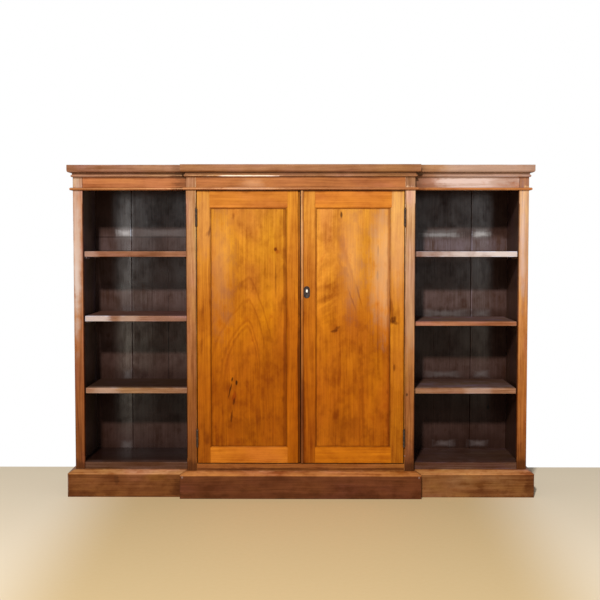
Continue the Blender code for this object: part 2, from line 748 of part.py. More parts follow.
def turned_object(name, profile, flats, place):
    """A profile (radius, z) from top to bottom, turned about a vertical axis at the place given."""
    bm = bmesh.new()
    verts = [bm.verts.new((radius, 0, z)) for radius, z in profile]
    for a, b in zip(verts, verts[1:]):
        bm.edges.new((a, b))
    mesh = bpy.data.meshes.new(name)
    bm.to_mesh(mesh)
    bm.free()
    made = bpy.data.objects.new(name, mesh)
    made.location = place
    screw = made.modifiers.new("turned", "SCREW")
    screw.steps = flats
    screw.render_steps = flats
    screw.use_merge_vertices = True
    screw.merge_threshold = MERGE_DISTANCE
    return made


def knuckle_spans():
    """Low and high z of the knuckles, from the hinge's middle, bottom one first."""
    pitch = HINGE_HEIGHT / KNUCKLE_COUNT
    spans = []
    for i in range(KNUCKLE_COUNT):
        low = -HINGE_HEIGHT / 2 + pitch * i
        spans.append((low + KNUCKLE_GAP / 2, low + pitch - KNUCKLE_GAP / 2))
    return spans


def leaf_mesh(side_x, level, spans):
    """A hinge leaf with a neck to each of its own knuckles, as a flat comb on edge."""
    half = HINGE_HEIGHT / 2
    outline = [
        (HINGE_Y + LEAF_START, level - half),
        (HINGE_Y + LEAF_START + LEAF_DEPTH, level - half),
        (HINGE_Y + LEAF_START + LEAF_DEPTH, level + half),
        (HINGE_Y + LEAF_START, level + half),
    ]
    for low, high in reversed(spans):
        outline += [
            (HINGE_Y + LEAF_START, level + high),
            (HINGE_Y + NECK_START, level + high),
            (HINGE_Y + NECK_START, level + low),
            (HINGE_Y + LEAF_START, level + low),
        ]
    outline = [p for i, p in enumerate(outline) if i == 0 or p != outline[i - 1]]
    edges = sorted(side_x)
    return prism_mesh(outline, "x", *edges)


def make_hinge(label, place, pivot):
    """A butt hinge: the frame leaf carries the pin with its ball ends, and the door leaf turns on it."""
    side = SIDES[label]
    level = HINGE_LEVELS[place]
    axis_x = side * HINGE_X
    spans = knuckle_spans()
    frame_spans, door_spans = spans[0::2], spans[1::2]
    near, far = LEAF_CLEARANCE, LEAF_CLEARANCE + LEAF_THICKNESS
    frame_x = (axis_x + side * near, axis_x + side * far)
    door_x = (axis_x - side * near, axis_x - side * far)

    profile = [(0, HINGE_HEIGHT / 2 + 2 * FINIAL_RADIUS)]
    ball_middle = (0, HINGE_HEIGHT / 2 + FINIAL_RADIUS)
    ball = arc(ball_middle, FINIAL_RADIUS, BALL_TOP_ANGLE, BALL_FOOT_ANGLE, BALL_STEPS)
    profile += ball
    for low, high in reversed(frame_spans):
        if low != frame_spans[-1][0]:
            profile.append((PIN_RADIUS, high))
        else:
            profile.append((ball[-1][0], high))
        profile += [(KNUCKLE_RADIUS, high), (KNUCKLE_RADIUS, low)]
        if low != frame_spans[0][0]:
            profile.append((PIN_RADIUS, low))
    foot = [(radius, -z) for radius, z in reversed(ball)]
    profile += [(foot[0][0], frame_spans[0][0]), *foot, (0, -HINGE_HEIGHT / 2 - 2 * FINIAL_RADIUS)]
    spine = turned_object(
        f"hinge_spine_{label}_{place}", profile, PIN_FLATS, (axis_x, HINGE_Y, level)
    )
    spine.hide_render = True
    spine.display_type = "WIRE"
    CUTTERS.objects.link(spine)
    frame_leaf = new_part(
        f"hinge_frame_leaf_{label}_{place}", leaf_mesh(frame_x, level, frame_spans), "dark_steel"
    )
    apply_boolean(frame_leaf, spine, "UNION")

    door_leaf = new_part(
        f"hinge_door_leaf_{label}_{place}",
        leaf_mesh(door_x, level, door_spans),
        "dark_steel",
        pivot,
        (axis_x, HINGE_Y, level),
    )
    barrels = bmesh.new()
    for low, high in door_spans:
        middle = (axis_x, HINGE_Y, level + (low + high) / 2)
        cylinder_mesh(middle, (0, 0, 1), KNUCKLE_RADIUS, high - low, PIN_FLATS, barrels)
    apply_boolean(door_leaf, new_cutter(f"hinge_barrels_{label}_{place}", barrels), "UNION")
    bore = cylinder_mesh(
        (axis_x, HINGE_Y, level), (0, 0, 1), PIN_BORE_RADIUS, HINGE_HEIGHT + CUT_OVERRUN, PIN_FLATS
    )
    apply_boolean(door_leaf, new_cutter(f"hinge_bore_{label}_{place}", bore))


def stadium(centre, width, height):
    radius = width / 2
    rise = (height - width) / 2
    upper = arc((centre[0], centre[1] + rise), radius, 0, 180, HALF_ROUND_STEPS)
    lower = arc((centre[0], centre[1] - rise), radius, 180, 360, HALF_ROUND_STEPS)
    return upper + lower


def keyhole_outline(centre):
    """A round hole with a slot below it, as one outline."""
    half = KEYHOLE_SLOT_WIDTH / 2
    start = math.degrees(math.asin(half / KEYHOLE_RADIUS))
    rounded = arc(centre, KEYHOLE_RADIUS, -90 + start, 270 - start, HALF_ROUND_STEPS)
    foot = centre[1] - KEYHOLE_SLOT_DROP
    return [*rounded, (centre[0] - half, foot), (centre[0] + half, foot)]


def make_lock(pivot):
    """The lock case let into the back of the right meeting stile, its bolt and the bolt's mortise."""
    stile = bpy.data.objects["right_door_meeting_stile"]
    left_stile = bpy.data.objects["left_door_meeting_stile"]
    edge = MEETING_EDGE
    case_front = DOOR_BACK - LOCK_THICKNESS
    half = LOCK_HEIGHT / 2
    pocket = box_mesh(
        (edge - CUT_OVERRUN, case_front - SEAT_GAP, LOCK_LEVEL - half - SEAT_GAP),
        (edge + LOCK_WIDTH + SEAT_GAP, DOOR_BACK + CUT_OVERRUN, LOCK_LEVEL + half + SEAT_GAP),
    )
    apply_boolean(stile, new_cutter("lock_pocket", pocket))
    case = new_part(
        "lock_case",
        box_mesh(
            (edge, case_front, LOCK_LEVEL - half),
            (edge + LOCK_WIDTH, DOOR_BACK - SEAT_GAP, LOCK_LEVEL + half),
        ),
        "dark_brass",
        pivot,
    )
    bolt_y = DOOR_BACK - LOCK_THICKNESS / 2
    side = BOLT_THICKNESS / 2
    rise = BOLT_HEIGHT / 2
    channel = box_mesh(
        (edge - CUT_OVERRUN, bolt_y - side - SEAT_GAP, LOCK_LEVEL - rise - SEAT_GAP),
        (edge + BOLT_CHANNEL_LENGTH, bolt_y + side + SEAT_GAP, LOCK_LEVEL + rise + SEAT_GAP),
    )
    apply_boolean(case, new_cutter("bolt_channel", channel))
    bolt_tip = edge + BOLT_RETREAT
    bolt = box_mesh(
        (bolt_tip, bolt_y - side, LOCK_LEVEL - rise),
        (bolt_tip + BOLT_LENGTH, bolt_y + side, LOCK_LEVEL + rise),
    )
    new_part("lock_bolt", bolt, "dark_brass", pivot)
    reach = bolt_tip - BOLT_THROW - MORTISE_CLEARANCE
    mortise = box_mesh(
        (reach, bolt_y - side - MORTISE_CLEARANCE, LOCK_LEVEL - rise - MORTISE_CLEARANCE),
        (edge + CUT_OVERRUN, bolt_y + side + MORTISE_CLEARANCE, LOCK_LEVEL + rise + MORTISE_CLEARANCE),
    )
    apply_boolean(left_stile, new_cutter("bolt_mortise", mortise))


def make_escutcheon(pivot):
    """The plate on the right meeting stile, and the drop cover that hangs from its stud."""
    middle = (MEETING_EDGE + ESCUTCHEON_OFFSET, LOCK_LEVEL)
    back = CENTRE_FRONT - SEAT_GAP
    front = back - ESCUTCHEON_THICKNESS
    outline = stadium(middle, ESCUTCHEON_WIDTH, ESCUTCHEON_HEIGHT)
    plate = new_part("escutcheon_plate", prism_mesh(outline, "y", front, back), "dark_brass", pivot)
    keyhole = prism_mesh(
        keyhole_outline(middle), "y", front - CUT_OVERRUN, DOOR_BACK - LOCK_THICKNESS + SEAT_GAP
    )
    keyhole_cutter = new_cutter("keyhole", keyhole)
    apply_boolean(plate, keyhole_cutter)
    apply_boolean(bpy.data.objects["right_door_meeting_stile"], keyhole_cutter)

    stud = (middle[0], middle[1] + STUD_RISE)
    cover_back = front - SEAT_GAP
    cover_front = cover_back - COVER_THICKNESS
    head_back = cover_front - SEAT_GAP
    shank = abs(head_back - back) + STUD_HEAD_THICKNESS / 2
    shank_middle = (stud[0], back - shank / 2 - SEAT_GAP, stud[1])
    shank_bm = cylinder_mesh(shank_middle, (0, 1, 0), STUD_RADIUS, shank, PIN_FLATS)
    apply_boolean(plate, new_cutter("stud_shank", shank_bm), "UNION")
    head_middle = (stud[0], head_back - STUD_HEAD_THICKNESS / 2, stud[1])
    head_bm = cylinder_mesh(head_middle, (0, 1, 0), STUD_HEAD_RADIUS, STUD_HEAD_THICKNESS, PIN_FLATS)
    apply_boolean(plate, new_cutter("stud_head", head_bm), "UNION")

    lean = math.degrees(math.asin((COVER_FOOT_RADIUS - COVER_TOP_RADIUS) / COVER_DROP))
    top = arc(stud, COVER_TOP_RADIUS, -lean, 180 + lean, HALF_ROUND_STEPS)
    foot_middle = (stud[0], stud[1] - COVER_DROP)
    foot = arc(foot_middle, COVER_FOOT_RADIUS, 180 + lean, 360 - lean, HALF_ROUND_STEPS)
    outline = prism_mesh(top + foot, "y", cover_front, cover_back)
    turn_point = (stud[0], (cover_front + cover_back) / 2, stud[1])
    cover = new_part("keyhole_cover", outline, "dark_brass", pivot, turn_point)
    hole = cylinder_mesh(turn_point, (0, 1, 0), COVER_HOLE_RADIUS, CUT_OVERRUN, PIN_FLATS)
    apply_boolean(cover, new_cutter("cover_hole", hole))


def make_doors():
    pivots = {}
    for label, side in SIDES.items():
        pivot = bpy.data.objects.new(f"{label}_door_pivot", None)
        pivot.location = (side * HINGE_X, HINGE_Y, (DOOR_BOTTOM + DOOR_TOP) / 2)
        PARTS.objects.link(pivot)
        pivots[label] = pivot
        make_door(label, pivot)
        for place in HINGE_LEVELS:
            make_hinge(label, place, pivot)
    make_astragal(pivots["right"])
    make_lock(pivots["right"])
    make_escutcheon(pivots["right"])


clear_scene()
PARTS = new_collection("breakfront_bookcase")
CUTTERS = new_collection("cutters")
make_plinth()
make_bottom_boards()
make_top_board()
make_uprights()
make_sides()
make_back_boards()
make_head()
make_shelves()
make_doors()
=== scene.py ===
"""Finishes, fittings, light and camera for a breakfront bookcase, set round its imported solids."""

import json
import math
from collections import namedtuple
from functools import partial

import bmesh
import bpy
from bpy.props import FloatProperty, FloatVectorProperty, IntProperty, PointerProperty
from bpy.types import Operator, Panel, PropertyGroup
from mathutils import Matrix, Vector


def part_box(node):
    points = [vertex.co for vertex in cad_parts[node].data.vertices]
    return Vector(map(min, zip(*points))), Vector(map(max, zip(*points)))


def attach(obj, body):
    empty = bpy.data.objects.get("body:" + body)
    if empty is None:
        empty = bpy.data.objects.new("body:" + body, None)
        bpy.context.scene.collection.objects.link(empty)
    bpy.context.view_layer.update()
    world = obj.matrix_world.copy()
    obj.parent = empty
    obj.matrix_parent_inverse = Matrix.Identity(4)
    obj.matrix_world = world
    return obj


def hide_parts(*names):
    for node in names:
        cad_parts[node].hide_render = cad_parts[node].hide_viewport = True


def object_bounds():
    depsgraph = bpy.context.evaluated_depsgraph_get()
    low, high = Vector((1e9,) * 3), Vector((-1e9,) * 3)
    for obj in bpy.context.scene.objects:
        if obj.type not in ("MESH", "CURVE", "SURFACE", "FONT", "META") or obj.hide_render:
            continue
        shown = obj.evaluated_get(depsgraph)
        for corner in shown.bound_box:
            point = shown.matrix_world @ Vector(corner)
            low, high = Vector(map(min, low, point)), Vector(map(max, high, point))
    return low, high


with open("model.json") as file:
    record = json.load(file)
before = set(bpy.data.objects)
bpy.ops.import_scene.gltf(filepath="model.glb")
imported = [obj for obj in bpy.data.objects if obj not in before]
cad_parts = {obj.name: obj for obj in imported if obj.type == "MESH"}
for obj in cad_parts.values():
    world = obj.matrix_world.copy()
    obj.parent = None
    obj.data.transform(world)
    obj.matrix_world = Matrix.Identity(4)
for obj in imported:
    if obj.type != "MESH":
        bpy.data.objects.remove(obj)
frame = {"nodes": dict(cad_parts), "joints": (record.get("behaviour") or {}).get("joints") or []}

CAD_LOW, CAD_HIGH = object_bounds()
NODES = frame["nodes"]
SIDES = {"left": -1, "right": 1}

bl_info = {
    "name": "Breakfront Bookcase",
    "version": (1, 0, 0),
    "blender": (4, 5, 0),
    "location": "3D View > Sidebar > Bookcase",
    "description": "Finishes, fittings, light and camera for a breakfront bookcase",
    "category": "Object",
}


def whole_box(*nodes):
    """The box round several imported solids."""
    corners = [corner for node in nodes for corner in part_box(node)]
    return Vector(map(min, *corners)), Vector(map(max, *corners))


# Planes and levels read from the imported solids
PLINTH_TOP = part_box("plinth_left")[1].z
WING_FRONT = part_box("outer_stile_left")[0].y
BACK = CAD_HIGH.y
OUTSIDE_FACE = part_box("end_panel_right")[1].x
BACK_BOARD_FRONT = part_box("back_board_centre")[0].y
PILASTER_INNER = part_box("centre_pilaster_right")[0].x
PARTITION_MIDDLE = (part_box("back_board_centre")[1].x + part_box("back_board_right_inner")[0].x) / 2


def setting(name, description, default, kind=FloatProperty, **unit):
    return kind(name=name, description=description, default=default, **unit)


def length(*words):
    return setting(*words, unit="LENGTH")


def power(*words):
    return setting(*words, unit="POWER")


def colour(*words):
    return setting(*words, FloatVectorProperty, subtype="COLOR")


def place(*words):
    return setting(*words, FloatVectorProperty, subtype="TRANSLATION", unit="LENGTH")


def turn(name, description, degrees):
    return setting(name, description, math.radians(degrees), subtype="ANGLE", unit="ROTATION")


HEIGHT_WORDS = {
    "foot": "at plinth height", "low": "a quarter of the way up", "mid": "half way up",
    "high": "three quarters of the way up", "top": "at the very top",
}


def tone(wood_name, height, default):
    """One of the colours that a wood runs through from its foot to its top."""
    description = f"Colour of the {wood_name.lower()} {HEIGHT_WORDS[height]}"
    return colour(f"{wood_name}, {height}", description, default)


# Settings

class BookcaseStageSettings(PropertyGroup):
    """Where the camera stands, and the room's light and floor."""

    camera_place: place("Camera place", "Where the camera stands", (0.0277, -4.5074, 1.0182))
    camera_tilt: turn("Camera tilt", "Turn up from looking straight down", 86.895)
    camera_turn: turn("Camera turn", "Turn about the upright axis", 0.394)
    camera_lens: setting("Lens", "Focal length", 66.6, unit="CAMERA")
    floor_middle: colour("Floor, middle", "Colour of the pale floor in front", (0.63, 0.47, 0.25))
    floor_sides: colour("Floor, sides", "Colour of the pale floor to the sides", (0.84, 0.72, 0.54))
    floor_behind: length("Floor behind", "How far the floor runs behind the bookcase", 0.235)
    floor_reach: length("Floor reach", "How far the floor runs to the front and sides", 9.0)
    room_light: setting("Room light", "Brightness of the light all round", 0.24)
    lamp_place: place("Lamp place", "Where the main lamp hangs", (-1.06, -7.3, 4.46))
    lamp_power: power("Lamp power", "Power of the main lamp", 840.0)
    lamp_size: length("Lamp size", "Width of the main lamp", 0.34)
    softbox_place: place("Softbox place", "Where the wide soft light hangs", (0.0, -8.5, 2.1))
    softbox_power: power("Softbox power", "Power of the wide soft light", 100.0)
    softbox_width: length("Softbox width", "Width of the wide soft light", 4.56)
    softbox_height: length("Softbox height", "Height of the wide soft light", 3.2)


class BookcaseWoodSettings(PropertyGroup):
    """Colours of the polished and the stained woods."""

    # Painted reflection: the doors' tones grow paler and greyer towards the top, over the wood's own colour
    door_foot: tone("Doors", "foot", (0.235, 0.06, 0.0024))
    door_low: tone("Doors", "low", (0.262, 0.064, 0.0016))
    door_mid: tone("Doors", "mid", (0.328, 0.095, 0.004))
    door_high: tone("Doors", "high", (0.41, 0.156, 0.019))
    door_top: tone("Doors", "top", (0.43, 0.185, 0.031))
    door_inside: colour("Doors, inside", "Colour of the doors' backs", (0.26, 0.11, 0.04))
    # Painted reflection: the uprights' tones grow paler and greyer towards the top, over the wood's own
    # colour
    upright_foot: tone("Uprights", "foot", (0.162, 0.05, 0.0102))
    upright_low: tone("Uprights", "low", (0.208, 0.067, 0.0155))
    upright_mid: tone("Uprights", "mid", (0.302, 0.124, 0.042))
    upright_high: tone("Uprights", "high", (0.368, 0.188, 0.083))
    upright_top: tone("Uprights", "top", (0.395, 0.22, 0.112))
    frieze: colour("Frieze", "Colour of the frieze and the bead below it", (0.325, 0.109, 0.032))
    cornice: colour("Cornice", "Colour of the cornice and the top", (0.255, 0.112, 0.054))
    plinth_wing: colour("Plinth, wings", "Colour of the plinth under the wings", (0.15, 0.05, 0.014))
    plinth_centre: colour("Plinth, centre", "Colour of the plinth under the doors", (0.085, 0.021, 0.007))
    plinth_bevel: colour("Plinth bevel", "Colour of the plinth's worn bevel", (0.38, 0.165, 0.06))
    # Painted reflection: the meeting bead's tones grow paler towards the top, over the wood's own colour
    meeting_foot: tone("Meeting bead", "foot", (0.115, 0.03, 0.008))
    meeting_mid: tone("Meeting bead", "mid", (0.283, 0.092, 0.014))
    meeting_top: tone("Meeting bead", "top", (0.47, 0.235, 0.1))
    shelf: colour("Shelf edge", "Colour of the shelves' front edges", (0.27, 0.105, 0.06))
    inside_foot: tone("Stain inside", "foot", (0.018, 0.0065, 0.0038))
    inside_low: tone("Stain inside", "low", (0.021, 0.008, 0.0048))
    inside_mid: tone("Stain inside", "mid", (0.03, 0.0125, 0.008))
    inside_top: tone("Stain inside", "top", (0.033, 0.0145, 0.0098))
    cupboard: colour("Cupboard", "Colour of the stain inside the cupboard", (0.12, 0.05, 0.025))
    bare_back: colour("Bare back", "Colour of the unfinished outside of the back", (0.3, 0.19, 0.11))


class BookcaseFittingSettings(PropertyGroup):
    """Sizes of the joints, screws, nails and rims that the solids leave out."""

    leaf_thickness: length("Leaf thickness", "Thickness of a hinge leaf", 0.0012)
    leaf_clearance: length("Leaf clearance", "Gap from a leaf's face to the hinge's axis", 0.00025)
    leaf_start: length("Leaf start", "How far behind the axis a leaf begins", 0.0052)
    knuckle_gap: length("Knuckle gap", "Gap between a hinge's knuckles", 0.0003)
    knuckles: setting("Knuckles", "Number of knuckles on a hinge", 5, IntProperty)
    screw_radius: length("Screw head", "Radius of a screw's head", 0.0026)
    slot_width: length("Screw slot", "Width of a screw head's slot", 0.0006)
    plate_thickness: length("Plate thickness", "Thickness of the escutcheon plate", 0.002)
    keyhole_radius: length("Keyhole radius", "Radius of the keyhole's round part", 0.0026)
    keyhole_slot: length("Keyhole slot", "Width of the keyhole's slot", 0.0022)
    keyhole_drop: length("Keyhole drop", "How far the keyhole's slot runs down", 0.009)
    joint_groove: length("Joint groove", "Half width of the groove at the strong joint of a back", 0.002)
    faint_groove: length("Faint groove", "Half width of the groove at a back's other joints", 0.0004)
    nail_radius: length("Nail head", "Radius of a back board's nail heads", 0.0024)
    nail_inset: length("Nail inset", "How far a nail is from its board's edge", 0.018)
    nail_sink: length("Nail sink", "How far the boards' backs lie inside the overall depth", 0.0004)
    centre_boards: setting("Centre boards", "Number of back boards in the middle", 6, IntProperty)
    flats: setting("Flats", "Number of flats round the metal fittings", 32, IntProperty)


# Materials

def math_node(operation, swapped=False):
    """An operator between a wire and another wire or number, which adds a Math node."""
    def worked_out(wire, other=0.0):
        values = (other, wire) if swapped else (wire, other)
        return wire.finish.add("ShaderNodeMath", {"operation": operation}, dict(enumerate(values)))

    return worked_out


class Wire:
    """One output of a material's node. Sums, products and powers of wires add Math nodes."""

    def __init__(self, finish, socket):
        self.finish = finish
        self.socket = socket

    __add__ = __radd__ = math_node("ADD")
    __sub__ = math_node("SUBTRACT")
    __rsub__ = math_node("SUBTRACT", swapped=True)
    __mul__ = __rmul__ = math_node("MULTIPLY")
    __truediv__ = math_node("DIVIDE")
    __rtruediv__ = math_node("DIVIDE", swapped=True)
    __pow__ = math_node("POWER")
    __abs__ = math_node("ABSOLUTE")
    least = math_node("MINIMUM")
    most = math_node("MAXIMUM")


MIX_FACTOR, MIX_A, MIX_B, MIX_RESULT = 0, 6, 7, 2


class Finish:
    """A material's nodes: one method adds any node, and the short ones are built on it."""

    def __init__(self, name, gloss=0.5, sheen_tint=(1.0, 1.0, 1.0)):
        self.material = bpy.data.materials.new(name)
        self.material.use_nodes = True
        self.tree = self.material.node_tree
        self.shader = self.tree.nodes["Principled BSDF"]
        self.shader.inputs["Specular IOR Level"].default_value = gloss
        self.shader.inputs["Specular Tint"].default_value = (*sheen_tint, 1.0)
        self.place = self.add("ShaderNodeTexCoord", output="Object")
        parts = self.tree.nodes.new("ShaderNodeSeparateXYZ")
        self.feed(parts.inputs[0], self.place)
        self.x, self.y, self.z = (Wire(self, parts.outputs[i]) for i in range(3))

    def add(self, kind, settings=None, inputs=None, output=0):
        """A new node of this kind: its settings are set first, then its sockets' values or wires."""
        node = self.tree.nodes.new(kind)
        for name, value in (settings or {}).items():
            if name == "stops":
                self.set_stops(node.color_ramp.elements, value)
            else:
                setattr(node, name, value)
        for key, value in (inputs or {}).items():
            self.feed(node.inputs[key], value)
        return Wire(self, node.outputs[output])

    def set_stops(self, elements, colours):
        while len(elements) < len(colours):
            elements.new(0.5)
        for i, colour in enumerate(colours):
            elements[i].position = i / (len(colours) - 1)
            elements[i].color = (*colour, 1.0)

    def feed(self, socket, value):
        if isinstance(value, Wire):
            self.tree.links.new(value.socket, socket)
        elif isinstance(value, tuple) and len(socket.default_value) == len(value) + 1:
            socket.default_value = (*value, 1.0)
        else:
            socket.default_value = value

    def join(self, x, y, z):
        return self.add("ShaderNodeCombineXYZ", inputs={0: x, 1: y, 2: z})

    def scaled(self, vector, scale, shift):
        """The vector times a scale for each axis, then shifted."""
        settings = {"operation": "MULTIPLY_ADD"}
        return self.add("ShaderNodeVectorMath", settings, {0: vector, 1: scale, 2: shift})

    def distance(self, vector):
        """A vector's length."""
        return self.add("ShaderNodeVectorMath", {"operation": "LENGTH"}, {0: vector}, "Value")

    def noise(self, vector, scale=1.0, seed=0.0, detail=2.0, roughness=0.5):
        """Soft noise; its scale is one number, or one for each axis."""
        scale = scale if isinstance(scale, tuple) else (scale, scale, scale)
        shifted = self.scaled(vector, scale, (seed, 0.0, 0.0))
        inputs = {"Vector": shifted, "Scale": 1.0, "Detail": detail, "Roughness": roughness}
        return self.add("ShaderNodeTexNoise", inputs=inputs)

    def smooth(self, value, low, high, top=1.0):
        """0 below the low value, the top above the high one and a smooth slope between; swapped, it falls."""
        settings = {"interpolation_type": "SMOOTHSTEP"}
        inputs = {"Value": value, "From Min": low, "From Max": high, "To Max": top}
        return self.add("ShaderNodeMapRange", settings, inputs)

    def ramp(self, value, colours):
        """Runs through the colours in even steps as the value goes from 0 to 1."""
        return self.add("ShaderNodeValToRGB", {"stops": colours}, {0: value})

    def mix(self, factor, a, b, blend="MIX"):
        settings = {"data_type": "RGBA", "blend_type": blend}
        return self.add("ShaderNodeMix", settings, {MIX_FACTOR: factor, MIX_A: a, MIX_B: b}, MIX_RESULT)

    def tinted(self, colour, factor, tint):
        """The colour times the tint where the factor is 1."""
        return self.mix(factor, colour, tint, "MULTIPLY")

    def bump(self, height, strength, distance):
        inputs = {"Height": height, "Strength": strength, "Distance": distance}
        self.feed(self.shader.inputs["Normal"], self.add("ShaderNodeBump", inputs=inputs))

    def finish(self, colour, roughness, metallic=0.0):
        self.feed(self.shader.inputs["Base Color"], colour)
        self.feed(self.shader.inputs["Roughness"], roughness)
        self.feed(self.shader.inputs["Metallic"], metallic)
        return self.material


# A mark on a board: its middle as shares of the board's width and height, its size in metres, its
# strength and tint, how far it bends the grain, whether it multiplies or veils the wood's colour,
# whether it is square, how far it leans to the right as it rises, and how much of it is at full
# strength.
Mark = namedtuple(
    "Mark", "across_share up_share width height strength tint bend blend square lean core",
    defaults=(0.0, "MULTIPLY", False, 0.0, 0.4),
)

# Arched figure, as where a board is cut across its rings: the arches' middle as a share of the
# board's width, how far it drifts over the board's height, the shares of the height where the
# arches begin and end, how far the rings close there, how much narrower the arches are on their
# right, how blunt their tops are, whether only their right halves show, and the rings that show
# as dark lines.
Arches = namedtuple(
    "Arches", "across_share drift_share low_share high_share reach skew point right_only lines"
)

WHOLE = 9.0
EVEN = (1.0, 1.0, 1.0)
LINE_REACH = 0.008
LINE_CORE = 0.0008
LINE_STRENGTH = 0.5
VARNISH_ROUGHNESS = 0.2
VARNISH_IOR = 1.6
DARK_STREAK = (0.56, 0.4, 0.26)
PALE_STREAK = (1.26, 1.36, 1.46)
PORE_TINT = (0.6, 0.45, 0.32)
CLOUD_TINT = (0.72, 0.58, 0.48)
FIGURE_TINT = (0.6, 0.42, 0.25)
SEAM_TINT = (0.4, 0.24, 0.14)
KNOT_TINT = (0.1, 0.05, 0.03)
DARK_MARK = (0.34, 0.22, 0.15)
SMUDGE_TINT = (0.58, 0.44, 0.34)
GOLD_TINT = (1.06, 1.16, 0.7)
PINK_TINT = (1.0, 0.92, 1.8)
PALE_TINT = (1.3, 1.7, 2.4)
# Painted light: lit patches where the lamp reaches the backs, and highlights along their joints
PAINTED_LIGHT_TINT = (2.2, 2.9, 3.8)
# Colours for painted highlights and painted reflections
PALE_HIGHLIGHT = (0.41, 0.31, 0.26)
WHITE_VEIL = (0.46, 0.4, 0.38)
WARM_REFLECTION = (0.52, 0.28, 0.13)
FRIEZE_REFLECTION = (0.46, 0.35, 0.315)
# Painted reflections on the varnished stain of the backs
BACK_REFLECTION = (0.15, 0.135, 0.13)
WARM_BACK_REFLECTION = (0.155, 0.122, 0.115)
DIM_BACK_REFLECTION = (0.09, 0.07, 0.065)
WARM_SHEEN = (1.0, 0.62, 0.3)
DOOR_SHEEN = (1.0, 0.5, 0.14)

# Kinds of marks: veils cover the wood's colour, and most of them here are painted highlights and
# reflections; lit patches are painted light, square but for a soft rim, and reflection patches are
# square painted reflections that cover the stain
smudge = partial(Mark, tint=SMUDGE_TINT)
dark = partial(Mark, tint=DARK_MARK)
knot = partial(Mark, tint=KNOT_TINT)
gold = partial(Mark, tint=GOLD_TINT)
veil = partial(Mark, blend="MIX")
lit_patch = partial(Mark, tint=PAINTED_LIGHT_TINT, square=True)
reflection_patch = partial(Mark, tint=BACK_REFLECTION, blend="MIX", square=True, core=0.0)

